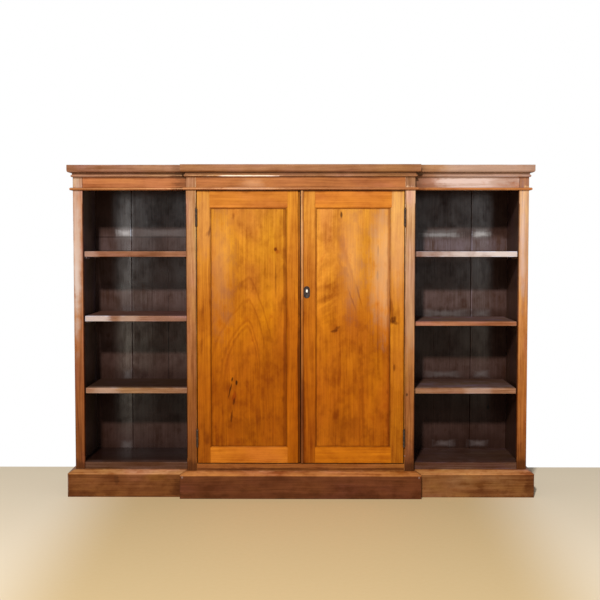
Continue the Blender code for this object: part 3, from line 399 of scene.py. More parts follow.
# The marks on each board, in the order in which they are laid
MARKS = {
    "outer_stile_left": [
        # Painted reflection on the stile's upper part
        veil(0.32, 0.72, 0.056, 0.84, 0.7, PALE_HIGHLIGHT, core=0.2),
        veil(0.3, 0.64, 0.026, 0.36, 0.5, WHITE_VEIL, core=0.0),
    ],
    "outer_stile_right": [
        # Painted reflection on the stile's upper part
        veil(0.5, 0.8, 0.08, 0.7, 0.28, PALE_HIGHLIGHT),
        veil(0.42, 0.78, 0.028, 0.62, 0.55, (0.47, 0.34, 0.31), core=0.0),
    ],
    "centre_pilaster_right": [
        knot(0.24, 0.256, 0.012, 0.018, 0.8, bend=0.004),
        smudge(0.04, 0.5, 0.007, WHOLE, 0.7),
        veil(0.05, 0.05, 0.006, 0.008, 0.6, WHITE_VEIL),
        # Painted reflection up the pilaster's middle
        veil(0.5, 0.6, 0.08, 0.6, 0.26, (0.41, 0.285, 0.18)),
    ],
    "frieze_right": [
        # Painted reflection over the frieze
        veil(0.42, 0.6, 0.7, 0.2, 0.95, FRIEZE_REFLECTION, core=0.35),
        Mark(0.03, 0.5, 0.26, 0.3, 1.0, (0.54, 0.34, 0.26), core=0.4),
        smudge(0.2, 0.25, 0.3, 0.02, 0.5),
        smudge(0.58, 0.3, 0.2, 0.012, 0.4),
        smudge(0.86, 0.4, 0.16, 0.06, 0.6),
    ],
    # Painted reflection on the right cornice
    "cornice_right": [veil(0.6, 0.5, 0.56, 0.14, 0.36, PALE_HIGHLIGHT)],
    "cornice_left": [dark(0.96, 0.1, 0.13, 0.016, 0.9)],
    "bead_left": [smudge(0.95, 0.5, 0.12, 0.1, 0.8)],
    # Painted highlights along the lower edges of the centre's cornice neck and bead, and a paler patch on the
    # frieze below
    "cornice_centre": [veil(0.283, 0.06, 0.3, 0.007, 0.9, (0.8, 0.6, 0.48), core=0.6)],
    "bead_centre": [veil(0.283, 0.5, 0.3, 0.014, 0.3, (0.5, 0.3, 0.18), core=0.6)],
    "frieze_centre": [veil(0.27, 0.5, 0.16, 0.06, 0.35, (0.54, 0.3, 0.17), core=0.0)],
    "plinth_left": [
        dark(0.4, 0.62, 0.022, 0.06, 0.5),
        gold(0.72, 0.8, 0.12, 0.06, 0.8),
        smudge(0.93, 0.3, 0.11, 0.12, 0.9),
        # Painted shade, with soiling, in the inner corner by the centre's return
        dark(0.99, 0.5, 0.03, 0.2, 0.7),
        smudge(0.12, 0.12, 0.16, 0.04, 0.6),
        # Painted highlight on the outer corner
        veil(0.0, 0.5, 0.008, 0.1, 0.3, PALE_HIGHLIGHT),
    ],
    "plinth_centre": [
        smudge(0.5, 0.1, 1.2, 0.03, 0.5),
        # Painted highlights on both corners
        veil(0.99, 0.8, 0.009, 0.012, 0.3, PALE_HIGHLIGHT),
        veil(0.01, 0.8, 0.009, 0.012, 0.25, PALE_HIGHLIGHT),
    ],
    "plinth_right": [
        # Painted sheen
        Mark(0.4, 0.6, 0.16, 0.07, 0.35, PALE_TINT),
        smudge(0.97, 0.4, 0.06, 0.12, 0.9),
        # Painted shade, with soiling, in the inner corner by the centre's return
        dark(0.03, 0.6, 0.04, 0.14, 0.6),
        smudge(0.6, 0.18, 0.24, 0.05, 0.6),
        # Painted sheen
        Mark(0.72, 0.62, 0.18, 0.06, 0.2, PALE_TINT),
    ],
    # The veils on the shelves' front edges are painted highlights
    "shelf_left_upper": [
        veil(0.02, 0.5, 0.1, 0.2, 0.26, PALE_HIGHLIGHT),
        smudge(0.66, 0.5, 0.14, 0.2, 0.5),
    ],
    "shelf_left_middle": [
        veil(0.04, 0.5, 0.2, 0.2, 0.62, WHITE_VEIL),
        veil(0.42, 0.5, 0.1, 0.2, 0.3, PALE_HIGHLIGHT),
    ],
    "shelf_left_lower": [veil(0.2, 0.5, 0.12, 0.2, 0.25, PALE_HIGHLIGHT)],
    "shelf_right_upper": [
        veil(0.9, 0.5, 0.6, 0.2, 0.9, WHITE_VEIL, core=0.1),
        veil(0.5, 0.5, 0.6, 0.2, 0.56, WHITE_VEIL, core=0.0),
    ],
    "shelf_right_lower": [veil(0.62, 0.5, 0.16, 0.2, 0.3, PALE_HIGHLIGHT)],
    "left_back": [
        # Lit patches: painted light where the lamp reaches the back in each bay
        lit_patch(0.12, 0.755, 0.14, 0.11, 0.6),
        lit_patch(0.5, 0.66, 0.8, 0.17, 0.6),
        lit_patch(0.5, 0.565, 0.8, 0.12, 0.6),
        lit_patch(0.5, 0.45, 0.8, 0.17, 0.75),
        lit_patch(0.5, 0.35, 0.8, 0.13, 0.28),
        lit_patch(0.5, 0.1, 0.8, 0.24, 0.4),
        # Reflection patches: painted reflections on the varnished stain
        reflection_patch(0.68, 0.795, 0.32, 0.048, 0.7, tint=DIM_BACK_REFLECTION, core=0.1),
        reflection_patch(0.295, 0.815, 0.094, 0.12, 0.66),
        reflection_patch(0.305, 0.87, 0.05, 0.22, 0.26, tint=WARM_BACK_REFLECTION),
        reflection_patch(0.3, 0.625, 0.05, 0.23, 0.26, tint=WARM_BACK_REFLECTION),
        reflection_patch(0.3, 0.7945, 0.088, 0.036, 1.0, tint=(0.28, 0.255, 0.25)),
        dark(0.5, 0.7808, WHOLE, 0.007, 0.8),
        knot(0.729, 0.42, 0.005, 0.42, 0.8),
        reflection_patch(0.31, 0.288, 0.044, 0.054, 0.24),
        reflection_patch(0.3, 0.03, 0.064, 0.054, 0.24),
        # Painted highlight along a joint
        Mark(0.355, 0.6, 0.006, 1.4, 0.7, PAINTED_LIGHT_TINT),
        Mark(0.7, 0.905, 0.16, 0.12, 0.7, (0.9, 1.15, 1.1)),
    ],
    "right_back": [
        # Lit patches are painted light and reflection patches are painted reflections, as on the left
        lit_patch(0.4, 0.74, 0.84, 0.13, 1.0),
        lit_patch(0.45, 0.745, 0.84, 0.1, 0.25),
        lit_patch(0.44, 0.56, 0.84, 0.13, 0.8),
        reflection_patch(0.38, 0.508, 0.3, 0.046, 0.36),
        reflection_patch(0.745, 0.508, 0.11, 0.046, 0.3),
        lit_patch(0.44, 0.312, 0.84, 0.104, 0.62),
        reflection_patch(0.36, 0.29, 0.2, 0.034, 0.26),
        reflection_patch(0.745, 0.291, 0.09, 0.04, 0.3),
        lit_patch(0.55, 0.11, 0.6, 0.15, 0.35),
        reflection_patch(0.32, 0.793, 0.24, 0.056, 0.45),
        reflection_patch(0.32, 0.7885, 0.22, 0.022, 0.85, tint=(0.19, 0.175, 0.17)),
        reflection_patch(0.745, 0.795, 0.092, 0.062, 0.6),
        reflection_patch(0.745, 0.791, 0.088, 0.026, 1.0, tint=(0.27, 0.25, 0.24)),
        reflection_patch(0.37, 0.04, 0.12, 0.036, 0.34, tint=WARM_BACK_REFLECTION),
        reflection_patch(0.725, 0.04, 0.11, 0.036, 0.34, tint=WARM_BACK_REFLECTION),
        # Painted highlight along a joint
        Mark(0.648, 0.64, 0.005, 1.1, 0.9, PAINTED_LIGHT_TINT),
        knot(0.828, 0.171, 0.02, 0.026, 1.0, bend=0.006),
    ],
    "left_door_panel": [
        Mark(0.854, 0.83, 0.018, 0.02, 1.0, (0.36, 0.17, 0.09), bend=0.012),
        Mark(0.88, 0.82, 0.02, 0.022, 0.8, (0.8, 0.55, 0.35)),
        dark(0.86, 0.7, 0.007, 0.22, 0.55),
        Mark(0.3, 0.972, 0.022, 0.04, 0.9, (0.52, 0.36, 0.26), core=0.0),
        knot(0.275, 0.284, 0.01, 0.024, 0.9, lean=0.25),
        knot(0.333, 0.27, 0.012, 0.026, 1.0),
        knot(0.25, 0.24, 0.007, 0.076, 0.8, lean=0.25),
        Mark(0.3, 0.212, 0.02, 0.05, 0.8, (0.75, 0.42, 0.2), lean=0.15),
        dark(0.298, 0.19, 0.01, 0.03, 0.9, lean=0.15),
        dark(0.268, 0.13, 0.009, 0.056, 0.8, lean=0.12),
        Mark(0.5, 0.98, 0.56, 0.26, 0.9, (0.8, 0.72, 0.78), core=0.0),
        smudge(0.48, 0.73, 0.17, 0.16, 0.25),
        smudge(0.3, 0.78, 0.08, 0.16, 0.35),
        smudge(0.45, 0.08, 0.24, 0.12, 0.35),
        gold(0.73, 0.87, 0.11, 0.3, 0.5),
        gold(0.72, 0.55, 0.09, 0.52, 0.6),
        # Painted reflection
        veil(0.12, 0.76, 0.15, 0.7, 0.2, WARM_REFLECTION, core=0.0),
        # Painted shade, with soiling, in the recess along the panel's right edge, against the stile
        smudge(0.985, 0.5, 0.024, WHOLE, 0.85),
    ],
    "right_door_panel": [
        knot(0.339, 0.975, 0.012, 0.032, 0.9),
        dark(0.238, 0.487, 0.034, 0.014, 0.8, bend=0.008, lean=1.2),
        dark(0.285, 0.5, 0.02, 0.022, 0.6, lean=0.9),
        smudge(0.2, 0.53, 0.07, 0.04, 0.4, lean=0.8, core=0.0),
        smudge(0.06, 0.62, 0.06, 0.06, 0.7, lean=0.9, core=0.0),
        smudge(0.09, 0.88, 0.06, 0.06, 0.5),
        Mark(0.585, 0.632, 0.011, 0.15, 0.9, (0.56, 0.4, 0.28), lean=-0.26, core=0.0),
        Mark(0.485, 0.619, 0.011, 0.14, 0.9, (0.56, 0.4, 0.28), lean=-0.37, core=0.0),
        Mark(0.525, 0.69, 0.02, 0.33, 0.3, PALE_TINT, lean=-0.16, core=0.0),
        dark(0.837, 0.828, 0.008, 0.052, 0.8),
        dark(0.83, 0.723, 0.009, 0.044, 0.8),
        smudge(0.835, 0.6, 0.008, 0.7, 0.45),
        gold(0.72, 0.78, 0.12, 0.42, 0.4),
        gold(0.8, 0.35, 0.09, 0.5, 0.4),
        smudge(0.4, 0.08, 0.24, 0.16, 0.4),
        # Painted reflections
        veil(0.93, 0.78, 0.17, 0.76, 0.5, (0.54, 0.32, 0.16), core=0.0),
        veil(0.48, 0.8, 0.13, 0.62, 0.26, WARM_REFLECTION, core=0.0),
        # Painted shade, with soiling, in the recess along the panel's right edge, against the stile
        smudge(0.995, 0.5, 0.026, WHOLE, 0.85),
    ],
    "left_door_hinge_stile": [
        dark(0.88, 0.85, 0.012, 0.05, 0.8, bend=0.004, lean=0.15),
        smudge(0.76, 0.844, 0.02, 0.03, 0.6, lean=0.5),
        smudge(0.33, 0.44, 0.034, 0.12, 0.5, lean=0.3, core=0.0),
        smudge(0.52, 0.11, 0.03, 0.11, 0.6, lean=-0.2, core=0.0),
        smudge(0.7, 0.085, 0.024, 0.07, 0.5, lean=0.2, core=0.0),
        smudge(0.26, 0.544, 0.024, 0.14, 0.5, lean=0.1, core=0.0),
        smudge(0.7, 0.56, 0.05, 0.3, 0.35),
        # Painted reflection on the stile's upper part
        veil(0.5, 0.88, 0.08, 0.4, 0.12, WARM_REFLECTION),
    ],
    "right_door_hinge_stile": [
        dark(0.18, 0.528, 0.034, 0.044, 0.95, bend=0.006, lean=0.4),
        dark(0.33, 0.52, 0.034, 0.026, 0.75, lean=-0.6),
        smudge(0.1, 0.565, 0.024, 0.11, 0.9, lean=-0.1),
        smudge(0.42, 0.552, 0.05, 0.07, 0.6, lean=0.5, core=0.0),
        dark(0.312, 0.353, 0.012, 0.04, 0.8),
        # Painted reflection on the stile's upper part
        veil(0.5, 0.85, 0.08, 0.6, 0.32, WARM_REFLECTION),
    ],
    "left_door_meeting_stile": [
        smudge(0.5, 0.52, 0.08, 0.4, 0.15),
        # Painted shade, with soiling, in the rebate where the doors meet, darker towards the foot
        Mark(0.93, 0.5, 0.013, WHOLE, 1.0, (0.5, 0.42, 0.4)),
        Mark(0.92, 0.15, 0.015, 1.3, 0.9, (0.6, 0.5, 0.36)),
    ],
    "right_door_meeting_stile": [
        smudge(0.5, 0.52, 0.08, 0.4, 0.15),
        # Painted shade beside the astragal bead
        dark(0.17, 0.5, 0.004, WHOLE, 0.7),
        smudge(0.2, 0.1, 0.016, 0.9, 0.9),
    ],
}

# How much each board's red, green and blue differ from its kind's colour
GAINS = {
    "outer_stile_left": (0.73, 0.63, 0.7), "outer_stile_right": (1.2, 1.18, 0.96),
    "centre_pilaster_left": (0.8, 0.74, 0.7), "centre_pilaster_right": (1.04, 1.1, 1.16),
    "frieze_left": (0.91, 0.88, 1.04), "frieze_centre": (0.81, 0.76, 0.71), "frieze_right": (0.84, 0.8, 0.84),
    "bead_left": (0.8, 0.82, 0.9), "bead_centre": (0.79, 0.83, 0.92), "bead_right": (0.9, 0.92, 1.0),
    "cornice_left": (0.8, 0.83, 1.04), "cornice_centre": (0.83, 0.8, 0.74),
    "cornice_right": (0.96, 1.06, 1.24), "top_board": (1.1, 1.1, 1.1),
    "plinth_left": (0.76, 0.71, 0.7), "plinth_centre": (0.92, 0.91, 0.92), "plinth_right": (0.97, 1.09, 1.22),
    "shelf_left_upper": (0.68, 0.71, 0.68), "shelf_left_middle": (0.61, 0.72, 0.87),
    "shelf_left_lower": (0.7, 0.88, 0.84), "shelf_right_upper": (0.48, 0.49, 0.52),
    "shelf_right_middle": (0.94, 0.95, 0.85), "shelf_right_lower": (0.8, 0.98, 0.97),
    "bottom_board_left": (0.25, 0.28, 0.31), "bottom_board_right": (0.25, 0.28, 0.31),
    "bottom_board_centre": (0.96, 0.94, 0.66),
    "left_door_hinge_stile": (0.99, 1.0, 1.05), "right_door_hinge_stile": (1.12, 1.32, 1.95),
    "left_door_meeting_stile": (1.01, 0.94, 0.6), "right_door_meeting_stile": (1.0, 0.97, 0.98),
    "left_door_top_rail": (0.89, 0.72, 0.61), "right_door_top_rail": (0.97, 0.76, 0.7),
    "left_door_bottom_rail": (1.62, 1.9, 4.1), "right_door_bottom_rail": (1.49, 1.66, 1.5),
    "left_door_panel": (0.99, 0.98, 0.57), "right_door_panel": (1.07, 1.09, 1.03),
}


def level_line(board, z, height, strength, tint=DARK_MARK, core=0.4):
    """A band all the way across a board, at a height above the floor."""
    low, high = board
    return Mark(0.5, (z - low.z) / (high.z - low.z), WHOLE, height, strength, tint, core=core)


def slope(axis, low, high, top=1.0):
    """A mask that goes from 0 to the top between two places on an axis or, for "aside", between
    two distances from the middle of the bookcase; swapped, it falls."""
    def mask(finish):
        place = abs(finish.x) if axis == "aside" else getattr(finish, axis)
        return finish.smooth(place, low, high, top)

    return mask


def times(colour, gain):
    """A colour with its red, green and blue each multiplied."""
    return tuple(c * g for c, g in zip(colour, gain))


def mark_reach(finish, board, mark, wide=1.0):
    """How far a place lies from a mark's middle, where 1 is its rim."""
    low, high = board
    middle_x = low.x + (high.x - low.x) * mark.across_share
    middle_z = low.z + (high.z - low.z) * mark.up_share
    across, up = 2 / (mark.width * wide), 2 / (mark.height * wide)
    if mark.square:
        return abs((finish.x - middle_x) * across).most(abs((finish.z - middle_z) * up))
    if mark.lean:
        leaning = finish.x - middle_x - (finish.z - middle_z) * mark.lean
        return finish.distance(finish.join(leaning * across, 0.0, (finish.z - middle_z) * up))
    offset = finish.scaled(finish.place, (across, 0.0, up), (-middle_x * across, 0.0, -middle_z * up))
    return finish.distance(offset)


GRAIN_SWAY = 0.026
BEND_REACH = 5.0


def across_grain(finish, board, grain, arches, marks, seed):
    """The place across the straight grain, which sways and bends round knots, the place across
    the rings, which close into arches, and the offset from the arches' middle."""
    low, high = board
    across = finish.z if grain == "x" else finish.x
    stretched = (2.0, 2.0, 4.0) if grain == "x" else (4.0, 4.0, 2.0)
    straight = across + (finish.noise(finish.place, stretched, seed) - 0.5) * GRAIN_SWAY
    for mark in marks:
        if mark.bend:
            reach = mark_reach(finish, board, mark, BEND_REACH)
            middle = low.x + (high.x - low.x) * mark.across_share
            straight = straight - (finish.x - middle) * finish.smooth(reach, 1.0, 0.0, mark.bend)
    if not arches:
        return straight, straight, 0.0
    width, height = high.x - low.x, high.z - low.z
    rise = finish.z - low.z
    side = straight - (low.x + width * arches.across_share) - rise * (arches.drift_share * width / height)
    closing = finish.smooth(rise, height * arches.low_share, height * arches.high_share, arches.reach)
    power = arches.point
    rings = (abs(side.most(side * arches.skew)) ** power + closing ** power) ** (1 / power)
    return straight, rings, side


# Layers of grain: how many fibres to the metre, how much longer than wide, and their own seed
BANDS = (26.0, 9.0, 0.0)
LINES = (95.0, 26.0, 5.0)
STREAKS = (190.0, 42.0, 7.0)
HAIRS = (440.0, 60.0, 9.0)
PORES = (900.0, 30.0, 13.0)
# Layers of cloud: how many to the metre across the grain and along it, their own seed, and detail
CLOUDS = (8.0, 5.0, 17.0)
PATCHES = (30.0, 20.0, 19.0, 4.0)
HUE_DRIFT = (11.0, 4.0, 23.0)
CURL_SCALE = (34.0, 1.0, 10.0)
# Where each look sets in and where it is full, in shares of its noise or in metres from an edge
PORE_RANGE = (0.58, 0.72)
GOLD_RANGE = (0.5, 0.68)
PINK_RANGE = (0.5, 0.32)
CLOUD_RANGE = (0.53, 0.75)
UNBROKEN_RANGE = (0.34, 0.52)
RUBBED_RANGE = (0.42, 0.66)
ARCH_SIDE_RANGE = (-0.01, 0.01)
EDGE_RANGE = (0.004, 0.0005)
SEAM_RANGE = (0.006, 0.003)
BUMP_STRENGTH = 0.22
BUMP_HEIGHT = 0.0006


def wood(name, tones, board, grain="z", seed=0.0, gain=EVEN, contrast=1.0, mottle=1.0, hue=0.4,
         seam=0.0, arches=None, curl=None, marks=(), back=None, grime=None, dull=None, varnish=None,
         roughness=0.36, gloss=0.3, sheen_tint=WARM_SHEEN, wear=1.0):
    """Polished wood: its tones from foot to top, figure, streaks, hair lines and pores along the
    grain, clouds, marks with painted light and shade among them, dark seams of soiling and painted
    shade, painted shade where a mask is given, rubbed edges, and other tones where the back mask is 1."""
    finish = Finish(name, gloss, sheen_tint)
    mix, smooth, tinted = finish.mix, finish.smooth, finish.tinted
    low, high = board
    straight, rings, side = across_grain(finish, board, grain, arches, marks, seed)
    along = finish.x if grain == "x" else finish.z
    fibre_place = finish.join(straight, finish.y, along)

    def fibres(per_metre, stretch, layer, place=fibre_place):
        return finish.noise(place, (per_metre, per_metre, per_metre / stretch), seed + layer, 2.0, 0.55)

    def clouds(across, up, layer, detail=2.0):
        scale = (up, across, across) if grain == "x" else (across, across, up)
        return finish.noise(finish.place, scale, seed + layer, detail, 0.6)

    def shade(colours, factor=EVEN):
        colours = [times(each, factor) for each in colours]
        if len(colours) == 1:
            return colours[0]
        return finish.ramp((finish.z - PLINTH_TOP) * (1 / (CAD_HIGH.z - PLINTH_TOP)), colours)

    ring_place = finish.join(rings, finish.y + side * 0.2, along) if arches else fibre_place
    bands = fibres(*BANDS, ring_place)
    lines = fibres(*LINES)
    streaks = fibres(*STREAKS)
    hairs = fibres(*HAIRS)
    pores = smooth(fibres(*PORES), *PORE_RANGE, 0.5 * contrast)
    cloud = clouds(*CLOUDS)
    patches = clouds(*PATCHES)
    grainy = (bands - 0.5) * 0.7 + (lines - 0.5) + (streaks - 0.5) * 1.3 + (hairs - 0.5) * 1.2
    tone = grainy * contrast + 0.5
    tone = tone + ((cloud - 0.5) * 0.9 + (patches - 0.5)) * mottle
    if curl:
        reach = mark_reach(finish, board, curl)
        slant = finish.join(finish.z - finish.x * 0.55, finish.y, finish.x + finish.z * 0.4)
        curly = finish.noise(slant, CURL_SCALE, seed, 3.0)
        tone = tone + (curly - 0.5) * smooth(reach, 1.0, 0.3, curl.strength)

    colour, front = shade(tones, gain), 1.0
    if back:
        mask, back_tones = back
        behind = mask(finish)
        front = 1.0 - behind
        colour = mix(behind, colour, shade(back_tones))
    colour = tinted(mix(tone, DARK_STREAK, PALE_STREAK), 1.0, colour)
    if hue:
        drift = clouds(*HUE_DRIFT)
        colour = tinted(colour, smooth(drift, *GOLD_RANGE, hue), GOLD_TINT)
        colour = tinted(colour, smooth(drift, *PINK_RANGE, hue), PINK_TINT)
    colour = tinted(colour, smooth(patches, *CLOUD_RANGE, 0.6 * mottle), CLOUD_TINT)
    if arches:
        for ring in arches.lines:
            off = abs(rings + (patches * 0.02 - (ring + 0.01)))
            line = smooth(off, LINE_REACH, LINE_CORE, LINE_STRENGTH)
            line = line * smooth(cloud, *UNBROKEN_RANGE)
            if arches.right_only:
                line = line * smooth(side, *ARCH_SIDE_RANGE)
            colour = tinted(colour, line, FIGURE_TINT)
    colour = tinted(colour, pores, PORE_TINT)
    ragged = streaks * 0.6 + patches * 1.2 - 0.9
    for mark in marks:
        reach = mark_reach(finish, board, mark) + ragged
        factor = smooth(reach, 1.0, mark.core, mark.strength) * front
        colour = mix(factor, colour, mark.tint, mark.blend)

    rubbed = finish.noise(finish.place, 24.0, seed, 3.0)
    edge_x = (finish.x - low.x).least(high.x - finish.x)
    edge = edge_x.least((finish.z - low.z).least(high.z - finish.z))
    # Darker at the board's edges: soiling in the joints, and painted shade in the recesses
    if seam:
        shade_and_dirt = smooth(edge + rubbed * 0.004, *SEAM_RANGE, seam)
        colour = tinted(colour, shade_and_dirt, SEAM_TINT)
    if grime:
        colour = tinted(colour, grime(finish), SEAM_TINT)
    worn = smooth(edge, *EDGE_RANGE, 0.5 * wear) * smooth(rubbed, *RUBBED_RANGE)
    colour = tinted(colour, worn, PALE_TINT)
    sheen = cloud * 0.16 + rubbed * 0.12 + pores * 0.2 + (roughness - 0.17)
    if dull:
        sheen = sheen.most(dull(finish))
    if varnish:
        thickness = varnish(finish) * (patches * 2.6 + streaks * 1.4 - 1.0) * front
        finish.feed(finish.shader.inputs["Coat Weight"], thickness)
        finish.shader.inputs["Coat Roughness"].default_value = VARNISH_ROUGHNESS
        finish.shader.inputs["Coat IOR"].default_value = VARNISH_IOR
    finish.bump(hairs * 0.5 + streaks * 0.3 - pores * 1.4 - worn, BUMP_STRENGTH, BUMP_HEIGHT)
    return finish.finish(colour, sheen)


def old_iron(name):
    """Hinge iron gone dark: brown rust in its hollows and rubbed bright on its high places."""
    finish = Finish(name)
    rust = finish.noise(finish.place, (260.0, 260.0, 120.0), 0.0, 4.0, 0.6)
    scratch = finish.noise(finish.place, (1500.0, 1500.0, 160.0))
    rusty = finish.smooth(rust, 0.5, 0.68)
    base = finish.mix(rusty, (0.05, 0.036, 0.027), (0.115, 0.055, 0.028))
    base = finish.mix(finish.smooth(scratch, 0.58, 0.7, 0.4), base, (0.17, 0.135, 0.11))
    finish.bump(rust * 0.7 + scratch * 0.3, 0.35, 0.0004)
    return finish.finish(base, rust * 0.25 + 0.36, rusty * -0.5 + 0.95)


def old_brass(name, dark=(0.055, 0.04, 0.027), bright=(0.62, 0.52, 0.36), polish=0.5, painted_highlight_place=None,
              dark_below=None):
    """Brass gone brown and rubbed brighter in places, with a painted highlight at the place given, and darker
    at its foot.
    """
    finish = Finish(name)
    tarnish = finish.noise(finish.place, 190.0, 0.0, 4.0, 0.62)
    scratch = finish.noise(finish.place, (900.0, 900.0, 1400.0))
    wear_and_highlight = finish.smooth(tarnish + scratch * 0.3, 0.81 - polish * 0.3, 1.07 - polish * 0.3)
    # A painted highlight, as the lamp's reflection, at the given place
    if painted_highlight_place:
        x, z, radius = painted_highlight_place
        across, up = 1 / radius, 0.62 / radius
        offset = finish.scaled(finish.place, (across, 0.0, up), (-x * across, 0.0, -z * up))
        wear_and_highlight = wear_and_highlight.most(finish.smooth(finish.distance(offset) + tarnish * 0.4, 1.2, 0.7))
    base = finish.mix(wear_and_highlight, dark, bright)
    # Darker towards the foot
    if dark_below:
        rim, reach = dark_below
        base = finish.tinted(base, finish.smooth(finish.z, rim + reach, rim), (0.22, 0.2, 0.2))
    finish.bump(tarnish * 0.6 + scratch * 0.4, 0.25, 0.0003)
    return finish.finish(base, wear_and_highlight * -0.3 + 0.58, wear_and_highlight * 0.5 + 0.4)


ARRIS = 0.0006
SHELF_ARRIS = 0.0012


def dress(node_name, material):
    """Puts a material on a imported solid."""
    for place in NODES[node_name].material_slots:
        place.material = material


def soften(node_name, width):
    """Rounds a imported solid's arrises a little, so that they catch the light."""
    node = NODES[node_name]
    weld = node.modifiers.new("welded faces", "WELD")
    weld.merge_threshold = 0.00001
    bevel = node.modifiers.new("rounded arrises", "BEVEL")
    bevel.width = width
    bevel.segments = 2
    bevel.limit_method = "ANGLE"


def finish_wood(node, tones, arris=0.0, marks=(), box=None, **look):
    """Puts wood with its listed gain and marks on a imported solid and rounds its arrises."""
    marks = [*MARKS.get(node, ()), *marks]
    gain = GAINS.get(node, EVEN)
    dress(node, wood(f"{node}_wood", tones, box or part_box(node), gain=gain, marks=marks, **look))
    if arris:
        soften(node, arris)


# Mesh helpers

def new_piece(name, bm, materials, body, replaced=(), smooth_angle=40.0):
    """A mesh built at its place becomes a piece with its materials, on its body."""
    bmesh.ops.recalc_face_normals(bm, faces=bm.faces)
    mesh = bpy.data.meshes.new(name)
    bm.to_mesh(mesh)
    bm.free()
    for material in materials:
        mesh.materials.append(material)
    mesh.shade_smooth()
    mesh.set_sharp_from_angle(angle=math.radians(smooth_angle))
    piece = bpy.data.objects.new(name, mesh)
    bpy.context.scene.collection.objects.link(piece)
    if body:
        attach(piece, body)
    if replaced:
        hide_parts(*replaced)
    return piece


def skin(bm, rings, ring_closed=False):
    """Joins rings of as many points each, in turn, and closes the ends or the last ring to the first."""
    loops = [[bm.verts.new(point) for point in ring] for ring in rings]
    if ring_closed:
        loops.append(loops[0])
    for a, b in zip(loops, loops[1:]):
        for i in range(len(a)):
            j = (i + 1) % len(a)
            bm.faces.new((a[i], a[j], b[j], b[i]))
    if not ring_closed:
        bm.faces.new(loops[0])
        bm.faces.new(loops[-1][::-1])


def round_points(middle, axis, radius, flats, start=0.0, sweep=math.tau):
    """Points round an arc about the axis; a whole turn leaves out the last point."""
    side = Vector((1, 0, 0)) if abs(axis.x) < 0.5 else Vector((0, 0, 1))
    other = axis.cross(side)
    steps = flats if sweep == math.tau else flats - 1
    angles = [start + sweep * i / steps for i in range(flats)]
    return [middle + (side * math.cos(a) + other * math.sin(a)) * radius for a in angles]


def turned(bm, profile, middle, axis, flats):
    """A turned shape: the profile gives radius and distance along the axis from the middle."""
    skin(bm, [round_points(middle + axis * along, axis, radius, flats) for radius, along in profile])


def block(bm, low, high, arris=0.0):
    """A box between two corners, with its arrises taken off."""
    low, high = Vector(low), Vector(high)
    corners = [Vector(map(min, low, high)), Vector(map(max, low, high))]
    made = bmesh.ops.create_cube(bm, size=1.0)["verts"]
    bmesh.ops.scale(bm, verts=made, vec=corners[1] - corners[0])
    bmesh.ops.translate(bm, verts=made, vec=(low + high) / 2)
    if arris:
        edges = list({edge for vert in made for edge in vert.link_edges})
        bmesh.ops.bevel(bm, geom=edges, offset=arris, segments=2, profile=0.7, affect="EDGES")


def screw_head(bm, middle, axis, rise, fittings):
    """A flush screw head: two half rounds either side of its slot."""
    radius, flats = fittings.screw_radius, fittings.flats
    tilt = math.asin(fittings.slot_width / (2 * radius))
    for half_turn in (0.0, math.pi):
        lower = round_points(middle, axis, radius, flats // 2, half_turn + tilt, math.pi - 2 * tilt)
        skin(bm, [lower, [point + axis * rise for point in lower]])
    base = round_points(middle - axis * rise, axis, radius * 1.04, flats)
    skin(bm, [base, [point + axis * (rise * 1.2) for point in base]])


# Stage

FLOOR_WARM_REACH = 1.0


def stage_material(name, middle_colour, side_colour):
    finish = Finish(name, 0.2)
    cloud = finish.noise(finish.place, 0.9)
    fine = finish.noise(finish.place, 60.0, 0.0, 3.0)
    aside = finish.smooth(abs(finish.x), FLOOR_WARM_REACH * 0.6, FLOOR_WARM_REACH)
    colour = finish.mix(aside, middle_colour, side_colour)
    colour = finish.tinted(colour, cloud * 0.2, (0.92, 0.9, 0.86))
    return finish.finish(finish.tinted(colour, fine * 0.12, (0.9, 0.87, 0.82)), fine * 0.2 + 0.45)


def aimed_light(name, power, width, height, place, target):
    data = bpy.data.lights.new(name, "AREA")
    data.energy = power
    data.shape = "RECTANGLE"
    data.size = width
    data.size_y = height
    light = bpy.data.objects.new(name, data)
    light.location = place
    light.rotation_euler = (Vector(target) - Vector(place)).to_track_quat("-Z", "Y").to_euler()
    light.visible_camera = False
    bpy.context.scene.collection.objects.link(light)


def room_world(brightness):
    """An even soft light from all round, which looks white behind the bookcase."""
    world = bpy.data.worlds.new("white room")
    world.use_nodes = True
    nodes, links = world.node_tree.nodes, world.node_tree.links
    backdrop = nodes["Background"]
    backdrop.inputs["Color"].default_value = (1.0, 1.0, 1.0, 1.0)
    glow = nodes.new("ShaderNodeBackground")
    glow.inputs["Color"].default_value = (1.0, 0.985, 0.96, 1.0)
    glow.inputs["Strength"].default_value = brightness
    path = nodes.new("ShaderNodeLightPath")
    blend = nodes.new("ShaderNodeMixShader")
    links.new(path.outputs["Is Camera Ray"], blend.inputs[0])
    links.new(glow.outputs[0], blend.inputs[1])
    links.new(backdrop.outputs[0], blend.inputs[2])
    links.new(blend.outputs[0], nodes["World Output"].inputs["Surface"])
    bpy.context.scene.world = world


